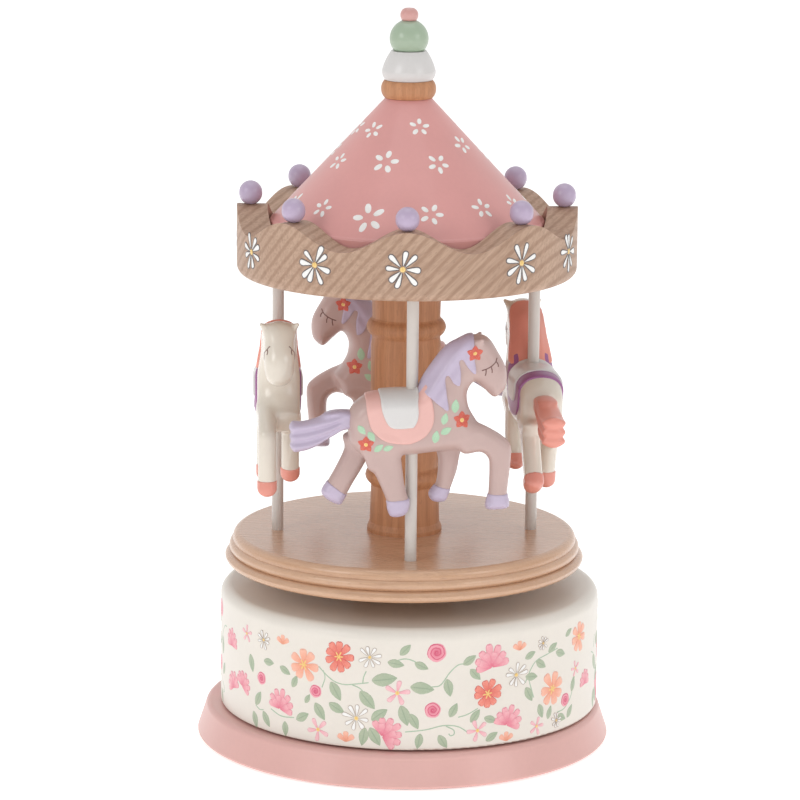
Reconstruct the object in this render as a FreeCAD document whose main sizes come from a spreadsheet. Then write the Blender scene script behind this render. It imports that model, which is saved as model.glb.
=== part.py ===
"""Carousel music box: a turned wooden carousel on a musical drum with a twist-to-wind foot.

Units are millimetres.  +Z is up, the spindle is the Z axis, and the origin is the centre of
the foot on the surface that it stands on.  The front horse gallops towards +X on the -Y side.
"""

import FreeCAD, Part
import math
import os
import re
import Sketcher

from FreeCAD import Placement, Rotation, Vector

SIZES = {
    # winding foot
    "foot_r": 57.0, "foot_shoulder_r": 54.8, "foot_top_r": 53.2, "foot_lift": 0.5,
    "foot_shoulder": 7.9, "foot_top": 9.4, "foot_edge": 0.8, "foot_round": 1.7,
    "foot_recess_r": 14.0, "foot_recess": 3.6,
    "felt_r": 55.0,
    "slip_in_r": 20.0, "slip_out_r": 30.0, "slip_thick": 0.5,
    "nut_across": 5.5, "nut_thick": 2.2,
    "arbor_r": 1.5, "arbor_low": 1.0, "arbor_high": 34.5, "run_gap": 0.05,
    # drum
    "drum_r": 52.2, "drum_wall": 6.0, "drum_low": 9.9, "drum_top": 43.0, "drum_ceiling": 38.0,
    "drum_round": 3.0, "drum_foot_round": 0.6, "drum_offset": 1.6, "rebate_r": 49.4, "rebate_top": 13.2,
    "plate_low": 10.2, "plate_bore_r": 2.6,
    "sound_hole_r": 2.0, "sound_ring_r": 7.0, "sound_x": -28.0, "sound_count": 6,
    "base_screw_ring_r": 47.5, "base_screw_r": 0.8, "base_screw_head_r": 1.5, "base_screw_head": 0.8,
    "base_screw_len": 8.0,
    "bush_r": 4.0, "bush_flange_r": 5.5, "bush_flange": 0.8, "bush_high": 43.2,
    # movement: plates and posts
    "bed_left": -14.0, "bed_right": 39.6, "bed_front": -25.5, "bed_back": 22.5, "bed_thick": 2.0,
    "bed_corner": 3.0, "bed_screw_r": 1.0, "bed_screw_head_r": 2.0, "bed_screw_head": 1.0,
    "bed_screw_depth": 2.0, "bed_screw_left": -11.0, "bed_screw_mid": 22.0, "bed_screw_right": 36.0,
    "bed_screw_front": -22.0, "bed_screw_back": 18.0,
    "cyl_axis": 24.0, "post_half": 2.2, "post_thick": 1.5, "inner_post_x": 10.6, "outer_post_x": 34.0,
    # movement: cylinder and its wheels
    "cyl_r": 6.5, "cyl_left": 12.5, "cyl_right": 31.5, "cyl_arbor_r": 0.75,
    "cyl_arbor_left": 7.8, "cyl_arbor_right": 35.5,
    "pin_r": 0.15, "pin_tip_r": 7.1, "tine_count": 18, "tine_first": 13.5, "tine_pitch": 1.0,
    "pins_per_tine": 4,
    "crown_teeth": 36, "pinion_teeth": 12, "crown_module": 0.5, "crown_mean_r": 9.0, "crown_face": 2.0,
    "pinion_face": 1.8, "wheel_module": 0.4, "gear_teeth": 36, "gear_left": 32.0, "gear_face": 1.4,
    # movement: comb
    "comb_tip": 7.25, "comb_root": 17.5, "comb_back": 25.0, "comb_thick": 0.8, "tine_width": 0.7,
    "tine_root": 0.5, "comb_screw_y": -21.2, "comb_screw_left": 16.0, "comb_screw_mid": 22.0,
    "comb_screw_right": 28.0, "comb_screw_r": 1.0, "comb_screw_head_r": 1.8, "comb_screw_head": 1.0,
    "comb_screw_depth": 5.0,
    # movement: governor
    "gov_pinion_teeth": 9, "gov_wheel_teeth": 24, "gov_wheel_left": 35.8, "gov_wheel_face": 1.2,
    "gov_arbor_r": 0.6, "gov_left": 30.2, "gov_right": 39.2, "cheek_thick": 1.0, "cheek_high": 26.4,
    "cheek_front": 7.7, "gov_sole": 1.2, "gov_back": 21.7, "gov_post": 1.5, "gov_arm_low": 36.0,
    "cheek_deep": 3.0, "gov_arm_wide": 3.0, "gov_arm_thick": 1.0, "boss_r": 1.6, "boss_high": 1.4,
    "worm_foot": 16.9, "worm_tip": 0.8,
    "worm_r": 1.2, "worm_core_r": 0.75, "worm_low": 20.8, "worm_turns": 5,
    "fan_r": 4.5, "fan_low": 30.0, "fan_high": 35.0, "fan_thick": 0.4, "fan_hub_r": 1.1,
    # spring barrel
    "barrel_r": 11.8, "barrel_wall": 0.8, "barrel_low": 27.8, "barrel_floor": 1.0, "barrel_high": 36.5,
    "cap_thick": 0.8, "spring_in_r": 2.7, "spring_out_r": 10.7, "spring_turns": 8, "spring_thick": 0.25,
    "spring_margin": 0.4,
    "shaft_r": 2.5, "shaft_high": 51.0,
    # turntable
    "hub_r": 14.0, "hub_low": 43.6, "hub_screw_ring_r": 9.0, "hub_screw_r": 1.0, "hub_screw_head_r": 2.0,
    "hub_screw_head": 1.0, "hub_screw_high": 54.0, "hub_screw_count": 3,
    "deck_low": 49.5, "deck_top": 57.8, "deck_r": 49.4,
    "deck_top_r": 45.5, "deck_under_r": 47.2, "tier_low": 52.4, "tier_high": 55.2,
    "tier_round": 1.6, "tier_gap_r": 47.6, "tier_drop": 1.3, "tier_step": 0.4, "deck_lip": 0.6,
    # column
    "column_r": 9.6, "column_foot_r": 10.3, "column_foot": 2.6, "column_waist_r": 9.3,
    "collar_r": 10.9, "collar_half": 2.2, "collar_neck": 0.5, "collar_low": 73.4, "collar_high": 114.9,
    "column_swell": 5.0,
    "tenon_r": 5.0, "tenon_len": 5.0,
    # poles and horses
    "pole_r": 1.59, "pole_ring_r": 35.0, "pole_socket": 5.0, "pole_turn": 2.75, "horse_count": 4,
    "horse_stand": 70.8, "horse_right_turn": 6.0,
    # canopy
    "canopy_r": 46.3, "canopy_low": 130.0, "canopy_round": 2.2, "crown_mid": 145.4, "crown_swing": 3.0,
    "crown_peaks": 8, "recess_r": 38.0, "recess_floor": 140.5,
    "bead_r": 3.15, "bead_z": 151.6, "bead_ring_r": 42.6, "bead_seat": 148.5, "bead_peg_r": 0.9,
    "bead_peg": 4.0,
    # roof and finial
    "roof_r": 37.4, "roof_skirt": 144.2, "roof_top_r": 6.3, "roof_top": 177.7, "roof_round": 1.0,
    "pin_bore_r": 1.2, "finial_pin_low": 166.0, "finial_pin_high": 199.6,
    "ring_low_r": 6.5, "ring_mid_r": 7.45, "ring_high": 182.6, "ring_round": 2.63,
    "cup_low_r": 6.5, "cup_mid_r": 7.3, "cup_mid": 185.2, "cup_top_r": 4.85, "cup_high": 190.5,
    "cup_flare_round": 16.0, "cup_foot_round": 3.4,
    "ball_r": 5.3, "ball_z": 193.7, "knob_r": 2.45, "knob_low": 198.7, "knob_high": 202.0,
    "knob_round": 1.9, "knob_mid": 200.0, "knob_foot_r": 1.95, "knob_top_r": 1.15,
    # small gap between stacked finial pieces
    "stack_gap": 0.1,
}

CLOCK = ("front", "right", "back", "left")
BED_SCREWS = (("bed_screw_left", "bed_screw_front"), ("bed_screw_left", "bed_screw_back"),
              ("bed_screw_right", "bed_screw_front"), ("bed_screw_mid", "bed_screw_back"))
COMB_SCREWS_X = ("comb_screw_left", "comb_screw_mid", "comb_screw_right")
# Degrees that the pins of one tine are turned from those of the next, and one note from another.
TUNE_STEP = 37
TUNE_SHIFT = 11
# How far a tool reaches past each face of the solid that it cuts.
OVER = 1

doc = FreeCAD.newDocument("carousel_music_box")
sheet = doc.addObject("Spreadsheet::Sheet", "dims")
pieces = []


def fill_sheet():
    """Write every driving dimension to the sheet, with its name as the alias."""
    for row, (name, number) in enumerate(SIZES.items(), start=1):
        sheet.set(f"A{row}", name)
        sheet.set(f"B{row}", str(number))
        sheet.setAlias(f"B{row}", name)
    doc.recompute()


def cells(expression):
    """Point each dimension name in an expression at its cell."""
    return re.sub(r"[a-z][a-z_]*", lambda word: f"dims.{word[0]}" if word[0] in SIZES else word[0],
                  str(expression))


def value(expression):
    """The present number that an expression stands for."""
    return float(sheet.evalExpression(str(expression)))


def keep(feature, label):
    """Name a finished sub-part and put it on the list of pieces."""
    feature.Label = label
    pieces.append(feature)
    return feature


def place(feature, x="0", y="0", z="0"):
    """Bind the place of a primitive to the sheet."""
    for axis, expression in zip("xyz", (x, y, z)):
        feature.setExpression(f"Placement.Base.{axis}", cells(expression))


def box(name, low, size):
    """A block from its lowest corner and its three lengths."""
    block = doc.addObject("Part::Box", name)
    for prop, expression in zip(("Length", "Width", "Height"), size):
        block.setExpression(prop, cells(expression))
    place(block, *low)
    return block


def cylinder(name, radius, length, start, axis="z"):
    """A round bar from the centre of its first end, along X or Z."""
    bar = doc.addObject("Part::Cylinder", name)
    bar.setExpression("Radius", cells(radius))
    bar.setExpression("Height", cells(length))
    if axis == "x":
        bar.Placement = Placement(Vector(), Rotation(Vector(0, 1, 0), 90))
    place(bar, *start)
    return bar


def compound(name, features):
    """Several separate solids as one object."""
    group = doc.addObject("Part::Compound", name)
    group.Links = features
    return group


def cut(name, base, tools):
    """Take one or more tools from a base."""
    result = doc.addObject("Part::Cut", name)
    result.Base = base
    result.Tool = tools[0] if len(tools) == 1 else compound(f"{name}_tools", tools)
    return result


def fuse(name, features):
    """Join several solids into one."""
    result = doc.addObject("Part::MultiFuse", name)
    result.Shapes = features
    return result


def free_shape(name, shape):
    """A shape made by formula, for what no sketch or primitive gives."""
    feature = doc.addObject("Part::Feature", name)
    feature.Shape = shape
    feature.Placement = Placement()
    return feature


def around(count, first_deg=0.0):
    """Angles in radians of evenly spaced places round the spindle."""
    return [math.radians(first_deg + 360.0 * index / count) for index in range(int(count))]


def ring_place(radius, angle, centre_x=0.0):
    """A point on a circle about the spindle or about an axis beside it."""
    return centre_x + radius * math.cos(angle), radius * math.sin(angle)


# ---------------------------------------------------------------- sketches

def arc_middle(first, last, radius, side):
    """Middle of the arc between two points that bulges to one side of the chord."""
    chord = last - first
    half = chord.Length / 2
    rise = radius - math.sqrt(radius * radius - half * half)
    normal = Vector(-chord.y, chord.x, 0).normalize()
    return (first + last) / 2 + normal * (rise if side == "left" else -rise)


def add_outline(sketch, outline):
    """Draw a closed outline of points, with ("arc", radius, side) between two of them.

    Every point is held by its two coordinates and every arc by its radius, each as an expression.
    """
    corners = [item for item in outline if item[0] != "arc"]
    bends = {}
    for index, item in enumerate(outline):
        if item[0] == "arc":
            bends[sum(1 for earlier in outline[:index] if earlier[0] != "arc") - 1] = item
    spots = [Vector(value(x), value(y), 0) for x, y in corners]
    ends = []
    for index, first in enumerate(spots):
        last = spots[(index + 1) % len(spots)]
        if index in bends:
            _, radius, side = bends[index]
            middle = arc_middle(first, last, value(radius), side)
            turns_left = (middle - first).cross(last - middle).z > 0
            order = (first, middle, last) if turns_left else (last, middle, first)
            edge = sketch.addGeometry(Part.Arc(*order), False)
            ends.append((edge, 1, 2) if turns_left else (edge, 2, 1))
            bend = sketch.addConstraint(Sketcher.Constraint("Radius", edge, value(radius)))
            sketch.setExpression(f"Constraints[{bend}]", cells(radius))
        else:
            edge = sketch.addGeometry(Part.LineSegment(first, last), False)
            ends.append((edge, 1, 2))
    for index, (x, y) in enumerate(corners):
        edge, start, _ = ends[index]
        before, _, finish = ends[index - 1]
        sketch.addConstraint(Sketcher.Constraint("Coincident", before, finish, edge, start))
        for kind, expression in (("DistanceX", x), ("DistanceY", y)):
            held = sketch.addConstraint(Sketcher.Constraint(kind, -1, 1, edge, start, value(expression)))
            sketch.setExpression(f"Constraints[{held}]", cells(expression))


def add_circle(sketch, radius, x="0", y="0"):
    """Draw a circle held by its centre and radius."""
    edge = sketch.addGeometry(Part.Circle(Vector(value(x), value(y), 0), Vector(0, 0, 1), value(radius)))
    held = sketch.addConstraint(Sketcher.Constraint("Radius", edge, value(radius)))
    sketch.setExpression(f"Constraints[{held}]", cells(radius))
    for kind, expression in (("DistanceX", x), ("DistanceY", y)):
        held = sketch.addConstraint(Sketcher.Constraint(kind, -1, 1, edge, 3, value(expression)))
        sketch.setExpression(f"Constraints[{held}]", cells(expression))


def new_sketch(body, name, plane):
    """A sketch on one of the body's own origin planes."""
    sketch = body.newObject("Sketcher::SketchObject", name)
    support = next(item for item in body.Origin.OriginFeatures if item.Role == plane)
    sketch.AttachmentSupport = [(support, "")]
    sketch.MapMode = "FlatFace"
    return sketch


def turned(name, outline):
    """A body made by turning an outline of (radius, height) points about the Z axis."""
    body = doc.addObject("PartDesign::Body", name)
    sketch = new_sketch(body, f"{name}_profile", "XZ_Plane")
    add_outline(sketch, outline)
    turn = body.newObject("PartDesign::Revolution", f"{name}_turn")
    turn.Profile = sketch
    turn.ReferenceAxis = (sketch, ["V_Axis"])
    turn.Angle = 360
    return body


def padded(name, plane, outlines, length, offset="0"):
    """A body padded along its plane's normal from outlines and circles."""
    body = doc.addObject("PartDesign::Body", name)
    sketch = new_sketch(body, f"{name}_outline", plane)
    for outline in outlines:
        if isinstance(outline, dict):
            add_circle(sketch, **outline)
        else:
            add_outline(sketch, outline)
    sketch.setExpression("AttachmentOffset.Base.z", cells(offset))
    pad = body.newObject("PartDesign::Pad", f"{name}_pad")
    pad.Profile = sketch
    pad.setExpression("Length", cells(length))
    return body


def toothed(body, name, plane, offset, length, tooth, teeth, axis_role):
    """Pad one tooth on a body and repeat it round the body's axis."""
    sketch = new_sketch(body, f"{name}_tooth", plane)
    add_outline(sketch, tooth)
    sketch.setExpression("AttachmentOffset.Base.z", cells(offset))
    pad = body.newObject("PartDesign::Pad", f"{name}_tooth_pad")
    pad.Profile = sketch
    pad.setExpression("Length", cells(length))
    ring = body.newObject("PartDesign::PolarPattern", f"{name}_teeth")
    ring.Originals = [pad]
    ring.Axis = (next(item for item in body.Origin.OriginFeatures if item.Role == axis_role), [""])
    ring.Angle = 360
    ring.setExpression("Occurrences", cells(teeth))
    body.Tip = ring
    return body


def spur_gear(name, teeth, module, left, face, bore, thin="0.62"):
    """A straight-toothed wheel on the X axis, with one tooth centred on the +Y direction."""
    pitch = f"({teeth}) * {module} / 2"
    root = f"{pitch} - {module} * 1.2"
    tip = f"{pitch} + {module}"
    body = padded(name, "YZ_Plane", [{"radius": root}, {"radius": bore}], face, left)
    half = f"{module} * {thin}"
    tooth = [(f"{root} - {module} * 0.5", f"-{half} * 1.25"), (f"{pitch}", f"-{half}"),
             (tip, f"-{half} * 0.45"), (tip, f"{half} * 0.45"), (f"{pitch}", half),
             (f"{root} - {module} * 0.5", f"{half} * 1.25")]
    return toothed(body, name, "YZ_Plane", left, face, tooth, teeth, "X_Axis")


# ---------------------------------------------------------------- winding foot (root body)

def make_foot():
    """The disc that the box stands on and is wound by, with a recess for the arbor nut."""
    outline = [("arbor_r", "foot_lift + foot_recess"), ("foot_recess_r", "foot_lift + foot_recess"),
               ("foot_recess_r", "foot_lift"), ("foot_r - foot_edge", "foot_lift"),
               ("arc", "foot_edge", "right"), ("foot_r", "foot_lift + foot_edge"),
               ("foot_shoulder_r", "foot_shoulder"), ("arc", "foot_round", "right"),
               ("foot_top_r", "foot_top"), ("arbor_r", "foot_top")]
    keep(turned("foot_body", outline), "foot_disc")


def make_foot_felt():
    """Felt disc under the foot, which hides the nut and rests on the table."""
    keep(cylinder("felt_disc", "felt_r", "foot_lift", ("0", "0", "0")), "foot_felt")


def make_slip_ring():
    """Felt ring that the box slides on while it is wound."""
    outline = [("slip_in_r", "foot_top"), ("slip_out_r", "foot_top"),
               ("slip_out_r", "foot_top + slip_thick"), ("slip_in_r", "foot_top + slip_thick")]
    keep(turned("slip_body", outline), "slip_ring")


def make_arbor():
    """Winding arbor from the foot up into the spring barrel, and the nut that holds it."""
    length = "arbor_high - arbor_low"
    keep(cylinder("arbor_bar", "arbor_r", length, ("0", "0", "arbor_low")), "winding_arbor")
    blank = doc.addObject("Part::Prism", "nut_blank")
    blank.Polygon = 6
    blank.setExpression("Circumradius", cells("nut_across / sqrt(3)"))
    blank.setExpression("Height", cells("nut_thick"))
    place(blank, z="foot_lift + foot_recess - nut_thick")
    hole = cylinder("nut_bore", "arbor_r", f"nut_thick + {2 * OVER}",
                    ("0", "0", f"foot_lift + foot_recess - nut_thick - {OVER}"))
    keep(cut("nut_cut", blank, [hole]), "arbor_nut")


# ---------------------------------------------------------------- drum and movement plates

def make_drum():
    """Lacquered drum: a cup open downwards, rebated for its base plate."""
    inner = "drum_r - drum_wall"
    outline = [("rebate_r", "drum_low"), ("drum_r - drum_foot_round", "drum_low"),
               ("arc", "drum_foot_round", "right"), ("drum_r", "drum_low + drum_foot_round"),
               ("drum_r", "drum_top - drum_round"), ("arc", "drum_round", "right"),
               ("drum_r - drum_round", "drum_top"), ("0", "drum_top"), ("0", "drum_ceiling"),
               (inner, "drum_ceiling"), (inner, "rebate_top"), ("rebate_r", "rebate_top")]
    shell = turned("drum_body", outline)
    place(shell, x="drum_offset")
    bore = cylinder("drum_bore", "bush_r", "drum_top", ("0", "0", "drum_low"))
    holes = [bore] + screw_bars("drum_screw_hole", "base_screw_r", "rebate_top", "base_screw_len")
    keep(cut("drum_cut", shell, holes), "drum_shell")


def screw_bars(name, radius, low, length):
    """Round bars at the base plate's screw places, for the screws and their holes."""
    bars = []
    for index, angle in enumerate(around(4, 45)):
        x, y = ring_place(value("base_screw_ring_r"), angle)
        bars.append(cylinder(f"{name}_{index + 1}", radius, length, (f"drum_offset + {x}", y, low)))
    return bars


def make_base_plate():
    """Base plate in the drum's rebate, with a ring of sound holes and its four screws."""
    plate = cylinder("plate_disc", "rebate_r", "rebate_top - plate_low", ("drum_offset", "0", "plate_low"))
    depth = f"rebate_top - plate_low + {2 * OVER}"
    low = f"plate_low - {OVER}"
    tools = [cylinder("plate_bore", "plate_bore_r", depth, ("0", "0", low))]
    for index, angle in enumerate(around(value("sound_count"))):
        x, y = ring_place(value("sound_ring_r"), angle, value("sound_x"))
        tools.append(cylinder(f"sound_hole_{index + 1}", "sound_hole_r", depth, (x, y, low)))
    for index, (x, y) in enumerate(BED_SCREWS):
        tools.append(cylinder(f"plate_bed_hole_{index + 1}", "bed_screw_r", "bed_screw_depth",
                              (x, y, "rebate_top - bed_screw_depth")))
    tools += screw_bars("plate_screw_hole", "base_screw_r", "plate_low", "rebate_top - plate_low")
    tools += screw_bars("plate_head_hole", "base_screw_head_r", "plate_low", "base_screw_head")
    keep(cut("plate_cut", plate, tools), "base_plate")
    shanks = screw_bars("base_shank", "base_screw_r", "plate_low", "rebate_top - plate_low + base_screw_len")
    heads = screw_bars("base_head", "base_screw_head_r", "plate_low", "base_screw_head")
    screws = [fuse(f"base_screw_{number}", list(pair)) for number, pair in enumerate(zip(shanks, heads), 1)]
    keep(compound("base_screw_set", screws), "base_screws")


def make_bedplate():
    """Brass bedplate of the movement and its four screws."""
    left, right, front, back = "bed_left", "bed_right", "bed_front", "bed_back"
    curve = ("arc", "bed_corner", "right")
    inset = "bed_corner"
    outline = [(f"{left} + {inset}", front), (f"{right} - {inset}", front), curve,
               (right, f"{front} + {inset}"), (right, f"{back} - {inset}"), curve,
               (f"{right} - {inset}", back), (f"{left} + {inset}", back), curve,
               (left, f"{back} - {inset}"), (left, f"{front} + {inset}"), curve]
    circles = [{"radius": "arbor_r + run_gap"}]
    circles += [{"radius": "bed_screw_r", "x": x, "y": y} for x, y in BED_SCREWS]
    keep(padded("bed_body", "XY_Plane", [outline] + circles, "bed_thick", "rebate_top"), "bedplate")
    screws = []
    for index, (x, y) in enumerate(BED_SCREWS):
        shank = cylinder(f"bed_shank_{index + 1}", "bed_screw_r", "bed_thick + bed_screw_depth",
                         (x, y, "rebate_top - bed_screw_depth"))
        head = cylinder(f"bed_head_{index + 1}", "bed_screw_head_r", "bed_screw_head",
                        (x, y, "rebate_top + bed_thick"))
        screws.append(fuse(f"bed_screw_{index + 1}", [shank, head]))
    keep(compound("bed_screw_set", screws), "bedplate_screws")


def make_post(name, left):
    """An upright with a bearing hole for the cylinder's arbor."""
    low = "rebate_top + bed_thick"
    high = "cyl_axis + post_half"
    half = "post_half"
    side = [(f"-{half}", low), (half, low), (half, "cyl_axis"), ("arc", half, "right"), ("0", high),
            ("arc", half, "right"), (f"-{half}", "cyl_axis")]
    hole = {"radius": "cyl_arbor_r + run_gap", "x": "0", "y": "cyl_axis"}
    keep(padded(f"{name}_body", "YZ_Plane", [side, hole], "post_thick", left), name)


def make_bush():
    """Flanged bush in the drum top, where the output shaft turns."""
    bore = "shaft_r + run_gap"
    outline = [(bore, "drum_ceiling - bush_flange"), ("bush_flange_r", "drum_ceiling - bush_flange"),
               ("bush_flange_r", "drum_ceiling"), ("bush_r", "drum_ceiling"), ("bush_r", "bush_high"),
               (bore, "bush_high")]
    keep(turned("bush_body", outline), "spindle_bush")


def make_comb():
    """Steel comb with its tines, the block that it rests on and its screws."""
    left = "tine_first - tine_pitch"
    length = "tine_pitch * (tine_count + 1)"
    low = "cyl_axis - comb_thick / 2"
    back = box("comb_back_bar", (left, "-comb_back", low), (length, "comb_back - comb_root", "comb_thick"))
    tines = []
    for index in range(int(value("tine_count"))):
        start = f"tine_first + {index} * tine_pitch - tine_width / 2"
        tines.append(box(f"tine_{index + 1}", (start, "-comb_root - tine_root", low),
                         ("tine_width", "comb_root + tine_root - comb_tip", "comb_thick")))
    block_low = "rebate_top + bed_thick"
    comb_holes, rest_holes, screws = [], [], []
    for index, x in enumerate(COMB_SCREWS_X):
        spot = (x, "comb_screw_y", f"{low} - comb_screw_depth")
        through = f"comb_screw_depth + {OVER}"
        comb_holes.append(cylinder(f"comb_hole_{index + 1}", "comb_screw_r", through, spot))
        rest_holes.append(cylinder(f"rest_hole_{index + 1}", "comb_screw_r", "comb_screw_depth", spot))
        shank = cylinder(f"comb_shank_{index + 1}", "comb_screw_r", "comb_screw_depth + comb_thick", spot)
        head = cylinder(f"comb_head_{index + 1}", "comb_screw_head_r", "comb_screw_head",
                        (x, "comb_screw_y", f"{low} + comb_thick"))
        screws.append(fuse(f"comb_screw_{index + 1}", [shank, head]))
    keep(cut("comb_cut", fuse("comb_blank", [back] + tines), comb_holes), "comb")
    rest = box("rest_block", (left, "-comb_back", block_low),
               (length, "comb_back - comb_root", f"{low} - ({block_low})"))
    keep(cut("rest_cut", rest, rest_holes), "comb_rest")
    keep(compound("comb_screw_set", screws), "comb_screws")


def make_governor_frame():
    """Frame that carries the governor's arbor between two cheeks and the fan's worm shaft."""
    low = "rebate_top + bed_thick"
    sole_top = f"{low} + gov_sole"
    gov_y = "(gear_teeth + gov_pinion_teeth) * wheel_module / 2"
    worm_y = f"{gov_y} + gov_wheel_teeth * wheel_module / 2 + worm_r"
    worm_x = "gov_wheel_left + gov_wheel_face / 2"
    sole = box("gov_sole_bar", ("gov_left", "cheek_front", low),
               ("gov_right - gov_left", "gov_back - cheek_front", "gov_sole"))
    cheek_size = ("cheek_thick", "cheek_deep", f"cheek_high - ({low})")
    cheeks = [box(f"cheek_{side}", (x, "cheek_front", low), cheek_size)
              for side, x in (("inner", "gov_left"), ("outer", "gov_right - cheek_thick"))]
    arm_left = f"{worm_x} - gov_arm_wide / 2"
    post = box("gov_post_bar", (arm_left, "gov_back - gov_post", low),
               ("gov_arm_wide", "gov_post", f"gov_arm_low + gov_arm_thick - ({low})"))
    arm = box("gov_arm_bar", (arm_left, f"{worm_y} - gov_arm_wide / 2", "gov_arm_low"),
              ("gov_arm_wide", f"gov_back - ({worm_y}) + gov_arm_wide / 2", "gov_arm_thick"))
    boss = cylinder("gov_boss", "boss_r", "boss_high", (worm_x, worm_y, sole_top))
    frame = fuse("gov_blank", [sole, post, arm, boss] + cheeks)
    across = cylinder("gov_bore", "gov_arbor_r + run_gap", f"gov_right - gov_left + {2 * OVER}",
                      (f"gov_left - {OVER}", gov_y, "cyl_axis"), axis="x")
    upright = cylinder("worm_bore", "gov_arbor_r + run_gap", f"gov_arm_low + gov_arm_thick + {OVER} - worm_foot",
                       (worm_x, worm_y, f"worm_foot - run_gap"))
    keep(cut("gov_cut", frame, [across, upright]), "governor_frame")


# ---------------------------------------------------------------- turning parts of the movement

def make_cylinder():
    """Pinned cylinder with its arbor, driving pinion and great wheel, all on the X axis."""
    lift = "cyl_axis"
    tube = padded("tube_body", "YZ_Plane", [{"radius": "cyl_r"}, {"radius": "cyl_arbor_r"}],
                  "cyl_right - cyl_left", "cyl_left")
    place(tube, z=lift)
    keep(tube, "tune_cylinder")
    keep(cylinder("cyl_arbor_bar", "cyl_arbor_r", "cyl_arbor_right - cyl_arbor_left",
                  ("cyl_arbor_left", "0", lift), axis="x"), "cylinder_arbor")
    pinion = spur_gear("pinion_body", "pinion_teeth", "crown_module", "crown_mean_r - pinion_face / 2",
                       "pinion_face", "cyl_arbor_r", "0.55")
    place(pinion, z=lift)
    keep(pinion, "cylinder_pinion")
    wheel = spur_gear("great_wheel_body", "gear_teeth", "wheel_module", "gear_left", "gear_face",
                      "cyl_arbor_r")
    place(wheel, z=lift)
    keep(wheel, "cylinder_gear")


def make_tune_pins():
    """Fine pins on the cylinder, a few for each tine, at the turns where its note is played."""
    radius, tip, length = value("cyl_r"), value("pin_tip_r"), value("cyl_right - cyl_left")
    pins = []
    for tine in range(int(value("tine_count"))):
        x = value("tine_first") + tine * value("tine_pitch")
        for note in range(int(value("pins_per_tine"))):
            spread = 360 * (note + 0.5) / value("pins_per_tine")
            turn = math.radians(spread + TUNE_STEP * tine + TUNE_SHIFT * (tine * note % 5))
            outward = Vector(0, math.cos(turn), math.sin(turn))
            start = Vector(x, 0, 0) + outward * (radius - OVER)
            pins.append(Part.makeCylinder(value("pin_r"), tip - radius + OVER, start, outward))
    core = Part.makeCylinder(radius, length + 2 * OVER, Vector(value("cyl_left") - OVER, 0, 0),
                             Vector(1, 0, 0))
    feature = free_shape("pin_set", Part.makeCompound([pin.cut(core) for pin in pins]))
    place(feature, z="cyl_axis")
    keep(feature, "tune_pins")


def make_governor():
    """Governor arbor with its pinion on the great wheel and its worm wheel."""
    gov_y = "(gear_teeth + gov_pinion_teeth) * wheel_module / 2"
    keep(cylinder("gov_arbor_bar", "gov_arbor_r", "gov_right - gov_left", ("gov_left", gov_y, "cyl_axis"),
                  axis="x"), "governor_arbor")
    pinion = spur_gear("gov_pinion_body", "gov_pinion_teeth", "wheel_module", "gear_left", "gear_face",
                       "gov_arbor_r", "0.55")
    place(pinion, y=gov_y, z="cyl_axis")
    keep(pinion, "governor_pinion")
    wheel = spur_gear("gov_wheel_body", "gov_wheel_teeth", "wheel_module", "gov_wheel_left",
                      "gov_wheel_face", "gov_arbor_r", "0.42")
    place(wheel, y=gov_y, z="cyl_axis")
    keep(wheel, "governor_wheel")


def make_fan():
    """Upright shaft with a right-hand worm that the governor wheel drives, and the air fan on it."""
    module = value("wheel_module")
    lead = math.pi * module
    x = value("gov_wheel_left + gov_wheel_face / 2")
    y = value("(gear_teeth + gov_pinion_teeth + gov_wheel_teeth) * wheel_module / 2 + worm_r")
    low, turns = value("worm_low"), value("worm_turns")
    core, tip = value("worm_core_r"), value("worm_r") + 0.9 * module
    foot, crest = 0.30 * lead, 0.10 * lead
    helix = Part.makeHelix(lead, lead * turns, core)
    corners = [Vector(core - 0.15, 0, -foot), Vector(tip, 0, -crest), Vector(tip, 0, crest),
               Vector(core - 0.15, 0, foot)]
    section = Part.makePolygon(corners + corners[:1])
    thread = Part.Wire(helix).makePipeShell([section], True, True)
    shaft = Part.makeCylinder(core, lead * (turns + 1.2), Vector(0, 0, -0.6 * lead))
    foot_end = value("worm_foot")
    spindle = Part.makeCylinder(value("gov_arbor_r"), value("gov_arm_low + worm_tip") - foot_end,
                                Vector(0, 0, foot_end - low))
    worm = thread.fuse([shaft, spindle])
    feature = free_shape("worm_bar", worm)
    feature.Placement = Placement(Vector(x, y, low), Rotation(Vector(0, 0, 1), worm_phase(low, lead)))
    keep(feature, "worm_shaft")
    hub = cylinder("fan_hub", "fan_hub_r", "fan_high - fan_low", (x, y, "fan_low"))
    blades = box("fan_blade_bar", (f"{x} - fan_r", f"{y} - fan_thick / 2", "fan_low"),
                 ("fan_r * 2", "fan_thick", "fan_high - fan_low"))
    bore = cylinder("fan_bore", "gov_arbor_r", f"fan_high - fan_low + {2 * OVER}", (x, y, f"fan_low - {OVER}"))
    keep(cut("fan_cut", fuse("fan_blank", [hub, blades]), [bore]), "fan_blades")


def worm_phase(low, lead):
    """Turn that puts a gap of the thread at the governor wheel's height on the wheel's side."""
    towards_wheel = -90.0
    height = value("cyl_axis") - low
    return towards_wheel - 360.0 * (height / lead - 0.5)


# ---------------------------------------------------------------- spring barrel and turntable

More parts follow.
